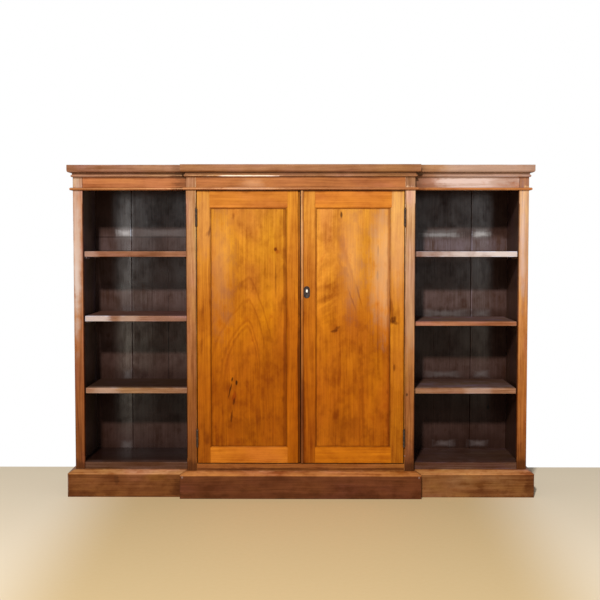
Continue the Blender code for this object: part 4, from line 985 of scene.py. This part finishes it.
class BOOKCASE_OT_stage(Operator):
    """Sets the camera, the light and the plain floor."""

    bl_idname = "bookcase.stage"
    bl_label = "Stage"

    def execute(self, context):
        settings = context.scene.bookcase_stage
        data = bpy.data.cameras.new("camera")
        data.lens = settings.camera_lens
        data.sensor_width = 36.0
        camera = bpy.data.objects.new("camera", data)
        camera.location = settings.camera_place
        camera.rotation_euler = (settings.camera_tilt, 0.0, settings.camera_turn)
        context.scene.collection.objects.link(camera)
        context.scene.camera = camera
        context.scene.view_settings.view_transform = "Standard"

        reach = settings.floor_reach
        behind = BACK + settings.floor_behind
        bm = bmesh.new()
        corners = [(-reach, -reach), (reach, -reach), (reach, behind), (-reach, behind)]
        bm.faces.new([bm.verts.new((x, y, 0.0)) for x, y in corners])
        made = stage_material("pale_floor", settings.floor_middle[:], settings.floor_sides[:])
        new_piece("floor", bm, [made], None)

        middle = (CAD_LOW + CAD_HIGH) / 2
        size = settings.lamp_size
        aimed_light("main_lamp", settings.lamp_power, size, size, settings.lamp_place, middle)
        width, height = settings.softbox_width, settings.softbox_height
        place = settings.softbox_place
        aimed_light("front_softbox", settings.softbox_power, width, height, place, middle)
        room_world(settings.room_light)
        return {"FINISHED"}


# Carcase

# Painted shade in the cornice's recess, and in a band under the cornice
RECESS_SHADE_TINT = (0.42, 0.25, 0.16)
CORNICE_RECESS_Z, CORNICE_RECESS_HEIGHT = 1.2772, 0.0105
CORNICE_SHADE_Z, CORNICE_SHADE_HEIGHT = 1.2615, 0.01
HEIGHTS = ("foot", "low", "mid", "high", "top")
INSIDE_HEIGHTS = ("foot", "low", "mid", "top", "top")
RUNS = ("left", "centre", "right")


def tones_of(settings, kind, places):
    """A wood's colours from foot to top."""
    return [getattr(settings, f"{kind}_{place}")[:] for place in places]


# How much paler and greyer each end panel's inner face is than the stain: a painted reflection, stronger on
# the left
END_STAIN_LIGHT_GAIN = {"left": (4.0, 7.2, 10.5), "right": (1.9, 2.2, 2.4)}
# The pilasters' inner sides, painted paler towards the top as painted light, so that the shaded gaps beside
# the doors look thin
GAP_LIT_TONES = [
    (0.62, 0.25, 0.05), (0.66, 0.26, 0.05), (0.72, 0.32, 0.08), (1.0, 0.7, 0.36), (1.0, 0.7, 0.36)
]
CHAMFER_WIDTH = 0.0021
# A band at the uprights' heads: a painted highlight on the left stile, and darker on the others
UPRIGHT_HEAD_Z, UPRIGHT_HEAD_HEIGHT = 1.262, 0.088
UPRIGHT_HEAD_TINT = {
    "outer_stile_left": (1.13, 1.34, 1.3), "outer_stile_right": (0.53, 0.42, 0.48),
    "centre_pilaster_left": (0.88, 0.8, 0.9), "centre_pilaster_right": (0.46, 0.36, 0.33),
}
UPRIGHT_FOOT_Z, UPRIGHT_FOOT_HEIGHT = 0.12, 0.3
UPRIGHT_FOOT_TINT = (0.38, 0.27, 0.45)
UPRIGHT_FOOT_STRENGTH = {
    "outer_stile_left": 0.1, "outer_stile_right": 0.5,
    "centre_pilaster_left": 0.15, "centre_pilaster_right": 0.9,
}
# A darker band at the uprights' foot
UPRIGHT_LOW_BAND_Z, UPRIGHT_LOW_BAND_HEIGHT = 0.108, 0.09


def chamfer_grime(edge_x, front):
    """A mask for the painted shade on the chamfer that faces a wing, behind the upright's front, where it is
    also soiled.
    """
    def mask(finish):
        near_edge = finish.smooth(abs(finish.x - edge_x), CHAMFER_WIDTH + 0.0004, CHAMFER_WIDTH)
        return near_edge * finish.smooth(finish.y, front + 0.0002, front + 0.0008, 0.8)

    return mask


class BOOKCASE_OT_uprights(Operator):
    """Finishes the wing stiles, the pilasters and the end panels."""

    bl_idname = "bookcase.uprights"
    bl_label = "Uprights"

    def execute(self, context):
        woods = context.scene.bookcase_wood
        tones = tones_of(woods, "upright", HEIGHTS)
        stain = tones_of(woods, "inside", INSIDE_HEIGHTS)
        gap = (slope("aside", PILASTER_INNER + 0.001, PILASTER_INNER + 0.0003), GAP_LIT_TONES)
        for label, side in SIDES.items():
            for name, seed in ((f"outer_stile_{label}", 3.1), (f"centre_pilaster_{label}", 7.7)):
                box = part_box(name)
                pilaster = "pilaster" in name
                wing_side = box[side > 0 if pilaster else side < 0].x
                foot = (UPRIGHT_FOOT_HEIGHT, UPRIGHT_FOOT_STRENGTH[name], UPRIGHT_FOOT_TINT)
                levels = [
                    level_line(box, UPRIGHT_HEAD_Z, UPRIGHT_HEAD_HEIGHT, 1.0, UPRIGHT_HEAD_TINT[name], 0.85),
                    level_line(box, CORNICE_SHADE_Z, CORNICE_SHADE_HEIGHT, 0.8),
                    level_line(box, UPRIGHT_FOOT_Z, *foot, core=0.0),
                    level_line(box, UPRIGHT_LOW_BAND_Z, UPRIGHT_LOW_BAND_HEIGHT, 0.75),
                ]
                finish_wood(
                    name, tones, ARRIS, levels, seed=seed + side, mottle=0.8, contrast=1.1, hue=0.5,
                    seam=0.25, back=gap if pilaster else None, grime=chamfer_grime(wing_side, box[0].y),
                )
            bare_or_lit = [times(tone, END_STAIN_LIGHT_GAIN[label]) for tone in stain]
            inside = (slope("aside", OUTSIDE_FACE - 0.004, OUTSIDE_FACE - 0.008), bare_or_lit)
            finish_wood(f"end_panel_{label}", tones, seed=11.3 + side, back=inside)
        return {"FINISHED"}


# Painted shade, with soiling, in the inner corner where the wings' mouldings run into the centre's: its place
# as a share of their width
BREAK_SHARE = {"left": 1.0, "right": 0.0}
BREAK_WIDTH, BREAK_HEIGHT = 0.15, 0.3


class BOOKCASE_OT_head(Operator):
    """Finishes the frieze, the bead, the cornice and the top board."""

    bl_idname = "bookcase.head"
    bl_label = "Head"

    def execute(self, context):
        woods = context.scene.bookcase_wood
        frieze, cornice = woods.frieze[:], woods.cornice[:]
        kinds = {"frieze": (frieze, 21.0), "bead": (frieze, 25.0), "cornice": (cornice, 29.0)}
        for i, label in enumerate(RUNS):
            for kind, (colour, seed) in kinds.items():
                name = f"{kind}_{label}"
                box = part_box(name)
                shade_and_dirt = []
                if kind == "frieze":
                    shade_and_dirt.append(level_line(box, CORNICE_SHADE_Z, CORNICE_SHADE_HEIGHT, 0.8))
                if kind == "cornice":
                    shade_and_dirt.append(level_line(box, CORNICE_RECESS_Z, CORNICE_RECESS_HEIGHT, 0.6, RECESS_SHADE_TINT))
                if label in BREAK_SHARE:
                    shade_and_dirt.append(dark(BREAK_SHARE[label], 0.5, BREAK_WIDTH, BREAK_HEIGHT, 0.75, core=0.0))
                finish_wood(
                    name, [colour], 0.0, shade_and_dirt, grain="x", seed=seed + i, mottle=0.9, contrast=0.85,
                    hue=0.35,
                )
        finish_wood("top_board", [cornice], ARRIS, grain="x", seed=33.0)
        return {"FINISHED"}


# The worn bevel's colour sets in and is full this far below the plinth's top
BEVEL_FOOT, BEVEL_HEAD = 0.0185, 0.0145
BEVEL_GAINS = {"left": (0.9, 0.91, 0.91), "centre": (0.84, 0.69, 0.5), "right": (0.9, 0.86, 0.82)}


class BOOKCASE_OT_plinth(Operator):
    """Finishes the plinth and its back rail."""

    bl_idname = "bookcase.plinth"
    bl_label = "Plinth"

    def execute(self, context):
        woods = context.scene.bookcase_wood
        ledge = slope("z", PLINTH_TOP - BEVEL_FOOT, PLINTH_TOP - BEVEL_HEAD)
        for i, label in enumerate(RUNS):
            colour = woods.plinth_centre if label == "centre" else woods.plinth_wing
            bevel = times(woods.plinth_bevel, BEVEL_GAINS[label])
            finish_wood(
                f"plinth_{label}", [colour[:]], ARRIS, grain="x", seed=41.0 + i, contrast=0.8, mottle=2.0,
                seam=0.6, back=(ledge, [bevel]), wear=1.6,
            )
        finish_wood("plinth_back_rail", [woods.bare_back[:]], grain="x", seed=47.0, gloss=0.1)
        return {"FINISHED"}


# Inside

def back_board_outline(low, high, joints, strong_joint, fittings):
    """The plan of a row of boards: straight, with a V at each joint, front and back."""
    def run(y, into, places):
        points = []
        for place in places:
            size = fittings.joint_groove if place == strong_joint else fittings.faint_groove
            points += [(place - size, y), (place, y + into * size * 1.6), (place + size, y)]
        return points

    back = high.y - fittings.nail_sink
    front_run = run(low.y, 1, joints)
    back_run = run(back, -1, joints)[::-1]
    return [(low.x, low.y), *front_run, (high.x, low.y), (high.x, back), *back_run, (low.x, back)]


NAIL_RISE_SHARE = 0.8


def make_back(label, nodes, joints, strong_joint, material, fittings):
    """A run of back boards in place of its solids, with grooved joints and nail heads behind."""
    low, high = whole_box(*nodes)
    outline = back_board_outline(low, high, joints, strong_joint, fittings)
    bm = bmesh.new()
    skin(bm, [[Vector((x, y, z)) for x, y in outline] for z in (low.z, high.z)])
    new_piece(f"{label}_back_boards", bm, [material], "carcase", nodes, 20.0)

    bm = bmesh.new()
    edges = [low.x, *joints, high.x]
    radius, sink = fittings.nail_radius, fittings.nail_sink
    rise = sink * NAIL_RISE_SHARE
    profile = [(radius, -0.001), (radius, rise * 0.4), (radius * 0.6, rise)]
    for left, right in zip(edges, edges[1:]):
        for x in (left + fittings.nail_inset, right - fittings.nail_inset):
            for z in (low.z + 0.012, (low.z + high.z) / 2, high.z - 0.03):
                turned(bm, profile, Vector((x, high.y - sink, z)), Vector((0, 1, 0)), 12)
    new_piece(f"{label}_back_nails", bm, [old_iron(f"{label}_nail_iron")], "carcase")


# How much paler the top faces are than the stain beside them: painted light and painted reflection on the
# tops
TOP_LIGHT_GAIN = {
    "bottom_board_left": (0.8, 0.72, 0.7), "bottom_board_right": (2.7, 3.2, 3.5),
    "shelf_left_upper": (1.0, 1.0, 1.0), "shelf_left_middle": (2.8, 2.6, 2.9),
    "shelf_left_lower": (1.2, 1.2, 1.4), "shelf_right_upper": (1.0, 1.0, 1.0),
    "shelf_right_middle": (3.9, 5.0, 6.2), "shelf_right_lower": (4.8, 7.0, 9.4),
}
# How far behind the wings' fronts the tops' stain and dullness begin, and where each is full
TOP_FACE_START = 0.013
TOP_FACE_STAINED = 0.07
TOP_FACE_DULLED = 0.022
TOP_FACE_ROUGHNESS = 0.75
# Painted shade at the back of one shelf's top, where it meets the back boards
SHADED_BACK_SHELF = "shelf_right_lower"
BACK_SHADE_START = 0.05
# Painted shadow along the foot of the board under the doors, above the plinth
UNDER_DOORS_Z, UNDER_DOORS_HEIGHT = 0.113, 0.0125


class BOOKCASE_OT_inside(Operator):
    """Finishes the partitions, the shelves and the bottom boards."""

    bl_idname = "bookcase.inside"
    bl_label = "Inside"

    def execute(self, context):
        woods = context.scene.bookcase_wood
        stain = tones_of(woods, "inside", INSIDE_HEIGHTS)
        cupboard, edge = [woods.cupboard[:]], [woods.shelf[:]]
        top_front = WING_FRONT + TOP_FACE_START
        top_face = slope("y", top_front, WING_FRONT + TOP_FACE_STAINED)
        dull_top = slope("y", top_front, WING_FRONT + TOP_FACE_DULLED, TOP_FACE_ROUGHNESS)
        back_shade = slope("y", WING_FRONT + BACK_SHADE_START, BACK_BOARD_FRONT, 0.8)
        tops = {
            name: (top_face, [times(tone, gain) for tone in stain]) for name, gain in TOP_LIGHT_GAIN.items()
        }
        wings = (slope("aside", PARTITION_MIDDLE - 0.001, PARTITION_MIDDLE + 0.001), stain)
        for label, side in SIDES.items():
            finish_wood(f"partition_{label}", cupboard, seed=61.0 + side, back=wings)
            name = f"bottom_board_{label}"
            finish_wood(name, edge, grain="x", seed=63.0 + side, back=tops[name], gloss=0.2)
            for i, place in enumerate(("upper", "middle", "lower")):
                name = f"shelf_{label}_{place}"
                finish_wood(
                    name, edge, SHELF_ARRIS, grain="x", seed=65.0 + i + side * 0.3, mottle=0.9, contrast=0.9,
                    back=tops[name], dull=dull_top, grime=back_shade if name == SHADED_BACK_SHELF else None,
                )
        finish_wood("cupboard_shelf", cupboard, ARRIS, grain="x", seed=71.0)
        name = "bottom_board_centre"
        seam = level_line(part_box(name), UNDER_DOORS_Z, UNDER_DOORS_HEIGHT, 0.9)
        finish_wood(name, [woods.upright_low[:]], 0.0, [seam], grain="x", seed=73.0)
        return {"FINISHED"}


FAINT_JOINTS = (0.562, 0.629)


class BOOKCASE_OT_back(Operator):
    """Makes the back boards with their grooved joints and nails."""

    bl_idname = "bookcase.back"
    bl_label = "Back boards"

    def execute(self, context):
        woods, fittings = context.scene.bookcase_wood, context.scene.bookcase_fittings
        bare_or_lit = (slope("y", BACK_BOARD_FRONT + 0.004, BACK_BOARD_FRONT + 0.006), [woods.bare_back[:]])
        stain = tones_of(woods, "inside", INSIDE_HEIGHTS)
        for label, side in SIDES.items():
            inner, outer = nodes = [f"back_board_{label}_inner", f"back_board_{label}_outer"]
            strong = (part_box(inner)[side > 0].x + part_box(outer)[side < 0].x) / 2
            joints = sorted([strong, *(side * x for x in FAINT_JOINTS)])
            made = wood(
                f"{label}_back_wood", stain, whole_box(*nodes), seed=51.0 + side, contrast=0.7, mottle=1.9,
                hue=0.0, marks=MARKS[f"{label}_back"], back=bare_or_lit, varnish=partial(old_varnish, label=label),
                roughness=0.5, gloss=0.06, sheen_tint=(1.0, 0.96, 0.96), wear=0.0,
            )
            make_back(label, nodes, joints, strong, made, fittings)
        name = "back_board_centre"
        low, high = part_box(name)
        count = fittings.centre_boards
        joints = [low.x + (high.x - low.x) * i / count for i in range(1, count)]
        made = wood("centre_back_wood", [woods.cupboard[:]], (low, high), seed=55.0, back=bare_or_lit, wear=0.0)
        make_back("centre", [name], joints, joints[0], made, fittings)
        return {"FINISHED"}


# Where the hazy varnish thickens or thins across each back: the shares of the back's width between
# which it changes, and by how much
VARNISH_CHANGES = {
    "left": ((0.14, 0.34, 1.0), (0.35, 0.4, -0.6), (0.44, 0.68, -0.26), (0.7, 0.9, 0.1)),
    "right": ((-0.1, 0.0, 0.15), (0.4, 0.5, 0.11), (0.55, 0.75, 0.27), (0.77, 0.89, -0.53)),
}
VARNISH_LOW, VARNISH_HIGH = {"left": -0.3, "right": 0.05}, 1.0


def old_varnish(finish, label):
    """The varnish's thickness at a place: it thins towards the floor."""
    low, high = whole_box(*(f"back_board_{label}_{part}" for part in ("inner", "outer")))
    share = (finish.x - low.x) * (1 / (high.x - low.x))
    across = sum(finish.smooth(share, *change) for change in VARNISH_CHANGES[label])
    return across * finish.smooth(finish.z, VARNISH_LOW[label], VARNISH_HIGH)


# Doors

DOOR_SEEDS = {
    "hinge_stile": 81.0, "meeting_stile": 84.0, "top_rail": 87.0, "bottom_rail": 90.0, "panel": 95.0
}
# Painted shadow of the bead along the tops of the doors
DOOR_TOP_SHADOW_Z, DOOR_TOP_SHADOW_HEIGHT = 1.2085, 0.0125
DOOR_LOOKS = {
    "stile": {"contrast": 0.66, "mottle": 0.9, "seam": 0.4},
    "rail": {"contrast": 0.46, "mottle": 0.9, "seam": 0.4},
    "panel": {"contrast": 0.46, "mottle": 1.5, "seam": 0.75, "hue": 0.55, "wear": 0.3},
}
DOOR_ARCHES = {
    "left_door_panel": Arches(0.44, 0.1, 0.25, 0.9, 0.25, 1.8, 1.3, False, (0.088, 0.104, 0.152, 0.2)),
    "right_door_panel": Arches(0.34, -0.06, 0.3, 0.95, 0.094, 1.0, 2.0, True, (0.089, 0.074)),
}
# Where slanting light and dark bands cross the grain
DOOR_CURLS = {"right_door_panel": dark(0.12, 0.66, 0.17, 0.46, 1.6)}


def panel_opening(label):
    """The part of a door's panel that shows inside its frame."""
    hinge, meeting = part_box(f"{label}_door_hinge_stile"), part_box(f"{label}_door_meeting_stile")
    left, right = (hinge, meeting) if label == "left" else (meeting, hinge)
    low, high = (corner.copy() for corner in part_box(f"{label}_door_panel"))
    low.x, low.z = left[1].x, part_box(f"{label}_door_bottom_rail")[1].z
    high.x, high.z = right[0].x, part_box(f"{label}_door_top_rail")[0].z
    return low, high


class BOOKCASE_OT_doors(Operator):
    """Finishes the doors: frames, figured panels and the bead where they meet."""

    bl_idname = "bookcase.doors"
    bl_label = "Doors"

    def execute(self, context):
        woods = context.scene.bookcase_wood
        tones = tones_of(woods, "door", HEIGHTS)
        for label, side in SIDES.items():
            for piece, seed in DOOR_SEEDS.items():
                name = f"{label}_door_{piece}"
                kind = piece.split("_")[-1]
                panel = kind == "panel"
                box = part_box(name)
                inner_face = slope("y", box[1].y - 0.001, box[1].y - 0.0004)
                shade_and_dirt = []
                if kind == "stile" or piece == "top_rail":
                    shade_and_dirt.append(level_line(box, DOOR_TOP_SHADOW_Z, DOOR_TOP_SHADOW_HEIGHT, 0.9))
                finish_wood(
                    name, tones, 0.0 if panel else ARRIS, shade_and_dirt, panel_opening(label) if panel else box,
                    grain="x" if kind == "rail" else "z", seed=seed + side, arches=DOOR_ARCHES.get(name),
                    curl=DOOR_CURLS.get(name), back=(inner_face, [woods.door_inside[:]]),
                    sheen_tint=DOOR_SHEEN, gloss=0.25, **DOOR_LOOKS[kind],
                )
        tones = tones_of(woods, "meeting", ("foot", "foot", "mid", "top", "top"))
        finish_wood("astragal_bead", tones, seed=99.0, wear=0.8)
        return {"FINISHED"}


# Fittings

UP = Vector((0, 0, 1))
FORWARD = Vector((0, -1, 0))
# The screws of a hinge leaf: shares of its half height, and of its depth
LEAF_SCREWS = ((-0.68, 0.64), (0.0, 0.42), (0.68, 0.64))


def joint_place(name):
    return Vector(next(joint for joint in frame["joints"] if joint["name"] == name)["pos_m"])


def make_hinge_leaf(part, label, place, material, fittings):
    """A leaf with its own knuckles and screws; the frame's leaf carries the ball-ended pin too."""
    on_frame = part == "frame"
    node = f"hinge_{part}_leaf_{label}_{place}"
    low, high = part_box(f"hinge_door_leaf_{label}_{place}")
    half, radius = (high.z - low.z) / 2, (high.x - low.x) / 2
    axis = joint_place(f"{label}_door_hinge")
    axis.z = (low.z + high.z) / 2
    outward = SIDES[label] if on_frame else -SIDES[label]
    face = axis.x + outward * fittings.leaf_clearance
    far = face + outward * fittings.leaf_thickness
    start = axis.y + fittings.leaf_start
    bm = bmesh.new()
    block(bm, (face, start, low.z), (far, high.y, high.z), fittings.leaf_thickness * 0.2)
    pitch, lip = 2 * half / fittings.knuckles, radius * 0.12
    for i in range(0 if on_frame else 1, fittings.knuckles, 2):
        foot = -half + i * pitch + fittings.knuckle_gap / 2
        head = foot + pitch - fittings.knuckle_gap
        profile = [(radius - lip, foot), (radius, foot + lip), (radius, head - lip), (radius - lip, head)]
        turned(bm, profile, axis, UP, fittings.flats)
        block(bm, (face, axis.y, axis.z + foot + lip), (far, start + radius * 0.1, axis.z + head - lip))
    if on_frame:
        turned(bm, [(radius * 0.6, -half - lip), (radius * 0.6, half + lip)], axis, UP, fittings.flats)
        ball_radius = (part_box(node)[1].z - high.z) / 2
        angles = [math.radians(a) for a in range(-80, 81, 16)]
        profile = [(ball_radius * math.cos(a), ball_radius * math.sin(a)) for a in angles]
        for end in (1, -1):
            turned(bm, profile, axis + UP * (end * (half + ball_radius)), UP, fittings.flats)
    for up_share, in_share in LEAF_SCREWS:
        middle = Vector((face, start + (high.y - start) * in_share, axis.z + half * up_share))
        screw_head(bm, middle, Vector((-outward, 0, 0)), fittings.leaf_clearance * 0.4, fittings)
    body = "carcase" if on_frame else f"{label}_door"
    new_piece(f"{label}_{place}_{part}_leaf", bm, [material], body, [node], 35.0)


class BOOKCASE_OT_hinges(Operator):
    """Makes the hinge leaves with their knuckles, ball-ended pins and screws."""

    bl_idname = "bookcase.hinges"
    bl_label = "Hinges"

    def execute(self, context):
        iron = old_iron("hinge_iron")
        for label in SIDES:
            for place in ("top", "bottom"):
                for part in ("frame", "door"):
                    make_hinge_leaf(part, label, place, iron, context.scene.bookcase_fittings)
        return {"FINISHED"}


def stadium_reach(angle, radius, rise):
    """How far a long round-ended outline lies from its middle in the direction given."""
    across, up = abs(math.cos(angle)), abs(math.sin(angle))
    if across > 0 and radius * up / across <= rise:
        return radius / across
    return rise * up + math.sqrt(radius ** 2 - (rise * across) ** 2)


def keyhole_reach(angle, radius, slot_half, drop):
    """The same for a keyhole: a round with a slot below it."""
    across, up = abs(math.cos(angle)), math.sin(angle)
    if up >= 0:
        return radius
    return max(radius, min(slot_half / max(across, 1e-6), drop / -up))


def make_plate(fittings):
    """The escutcheon plate with its rolled rim and keyhole, and the stud that the cover hangs on."""
    low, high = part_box("escutcheon_plate")
    middle = Vector(((low.x + high.x) / 2, high.y, (low.z + high.z) / 2))
    half_width = (high.x - low.x) / 2
    rise = (high.z - low.z) / 2 - half_width
    count = fittings.flats * 3
    angles = [math.tau * i / count for i in range(count)]

    def ring(reach, forward):
        return [middle + Vector((math.cos(a) * reach(a), -forward, math.sin(a) * reach(a))) for a in angles]

    def rim(inset, forward):
        return ring(lambda a: stadium_reach(a, half_width - inset, rise), forward)

    def keyhole(margin, forward):
        radius, slot_half = fittings.keyhole_radius + margin, fittings.keyhole_slot / 2 + margin
        return ring(lambda a: keyhole_reach(a, radius, slot_half, fittings.keyhole_drop + margin), forward)

    thick = fittings.plate_thickness
    bm = bmesh.new()
    skin(bm, [
        keyhole(0.0, 0.0), rim(0.0, 0.0), rim(0.0, thick * 0.6), rim(0.0004, thick * 0.9),
        rim(0.0009, thick), rim(0.0018, thick * 0.9), rim(0.0024, thick * 0.65),
        keyhole(0.0004, thick * 0.65), keyhole(0.0, thick * 0.5),
    ], ring_closed=True)
    stud = joint_place("keyhole_cover_swing")
    head = high.y - low.y
    under_head = high.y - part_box("keyhole_cover")[0].y + 0.0003
    profile = [
        (0.0015, thick * 0.5), (0.0015, under_head), (0.0028, under_head),
        (0.0027, head - 0.0005), (0.0019, head - 0.0001), (0.0006, head),
    ]
    turned(bm, profile, Vector((stud.x, high.y, stud.z)), FORWARD, fittings.flats)
    foot = middle.z - rise - half_width
    brass = old_brass("plate_brass", *PLATE_BRASS, dark_below=(foot + PLATE_DARK_REACH, PLATE_DARK_REACH))
    new_piece("drilled_plate", bm, [brass], "right_door", ["escutcheon_plate"], 50.0)


def make_cover(fittings):
    """The drop cover: round about its stud, wider at its foot and domed at its front."""
    low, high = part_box("keyhole_cover")
    stud = joint_place("keyhole_cover_swing")
    top_radius = high.z - stud.z
    foot_radius = (high.x - low.x) / 2
    foot_z = low.z + foot_radius
    drop = stud.z - foot_z
    lean = math.asin((foot_radius - top_radius) / drop)

    def half_round(z, radius, y, start, sweep):
        return round_points(Vector((stud.x, y, z)), FORWARD, radius, fittings.flats, start, sweep)

    def outline(inset, y):
        top = half_round(stud.z, top_radius - inset, y, math.pi - lean, math.pi + 2 * lean)
        return top + half_round(foot_z, foot_radius - inset, y, lean, math.pi - 2 * lean)

    bm = bmesh.new()
    skin(bm, [outline(inset, high.y - (high.y - low.y) * share) for inset, share in COVER_DOME])
    # Painted highlight on the cover's upper part
    painted_highlight_place = (stud.x + 0.0006, stud.z - drop * 0.52, 0.0046)
    brass = old_brass("cover_brass", *COVER_BRASS, painted_highlight_place)
    new_piece("drop_cover", bm, [brass], "keyhole_cover", ["keyhole_cover"], 60.0)


def make_lock_screws(fittings):
    """The four screws that hold the lock case."""
    low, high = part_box("lock_case")
    inset = fittings.screw_radius * 2.2
    bm = bmesh.new()
    for x in (low.x + inset, high.x - inset):
        for z in (low.z + inset, high.z - inset):
            screw_head(bm, Vector((x, high.y, z)), -FORWARD, 0.0002, fittings)
    new_piece("lock_screws", bm, [old_brass("screw_brass", polish=0.3)], "right_door")


# Brass: its dark and bright colours and how polished it is
PLATE_BRASS = ((0.03, 0.016, 0.012), (0.17, 0.1, 0.07), 0.34)
# The cover's bright colour shows mostly as its painted highlight
COVER_BRASS = ((0.04, 0.028, 0.027), (0.74, 0.72, 0.66), 0.05)
PLATE_DARK_REACH = 0.008
# How far the cover's outline draws in, at shares of its depth
COVER_DOME = ((0.0, 0.0), (0.0, 0.3), (0.0003, 0.55), (0.0012, 0.83), (0.0026, 0.97), (0.0042, 1.0))


class BOOKCASE_OT_lock(Operator):
    """Makes the escutcheon plate, its cover and the lock's screws."""

    bl_idname = "bookcase.lock"
    bl_label = "Lock fittings"

    def execute(self, context):
        for make in (make_plate, make_cover, make_lock_screws):
            make(context.scene.bookcase_fittings)
        dress("lock_case", old_brass("lock_brass"))
        dress("lock_bolt", old_brass("bolt_brass", polish=0.9))
        return {"FINISHED"}


class BOOKCASE_PT_panel(Panel):
    """Lists the bookcase's settings and the steps that make it."""

    bl_idname = "BOOKCASE_PT_panel"
    bl_label = "Breakfront Bookcase"
    bl_space_type = "VIEW_3D"
    bl_region_type = "UI"
    bl_category = "Bookcase"

    def draw(self, context):
        for step in STEPS:
            self.layout.operator(step.bl_idname)
        for group in GROUPS:
            settings = getattr(context.scene, group)
            box_layout = self.layout.box()
            for prop in settings.bl_rna.properties:
                if prop.identifier not in {"rna_type", "name"}:
                    box_layout.prop(settings, prop.identifier)


GROUPS = {
    "bookcase_stage": BookcaseStageSettings,
    "bookcase_wood": BookcaseWoodSettings,
    "bookcase_fittings": BookcaseFittingSettings,
}
STEPS = (
    BOOKCASE_OT_stage, BOOKCASE_OT_uprights, BOOKCASE_OT_head, BOOKCASE_OT_plinth, BOOKCASE_OT_inside,
    BOOKCASE_OT_back, BOOKCASE_OT_doors, BOOKCASE_OT_hinges, BOOKCASE_OT_lock,
)


def register():
    for cls in (*GROUPS.values(), *STEPS, BOOKCASE_PT_panel):
        bpy.utils.register_class(cls)
    for name, group in GROUPS.items():
        setattr(bpy.types.Scene, name, PointerProperty(type=group))


def unregister():
    for name in GROUPS:
        delattr(bpy.types.Scene, name)
    for cls in (BOOKCASE_PT_panel, *reversed(STEPS), *reversed(GROUPS.values())):
        bpy.utils.unregister_class(cls)


def main():
    register()
    for step in STEPS:
        group, name = step.bl_idname.split(".")
        getattr(getattr(bpy.ops, group), name)()


if __name__ == "__main__":
    main()
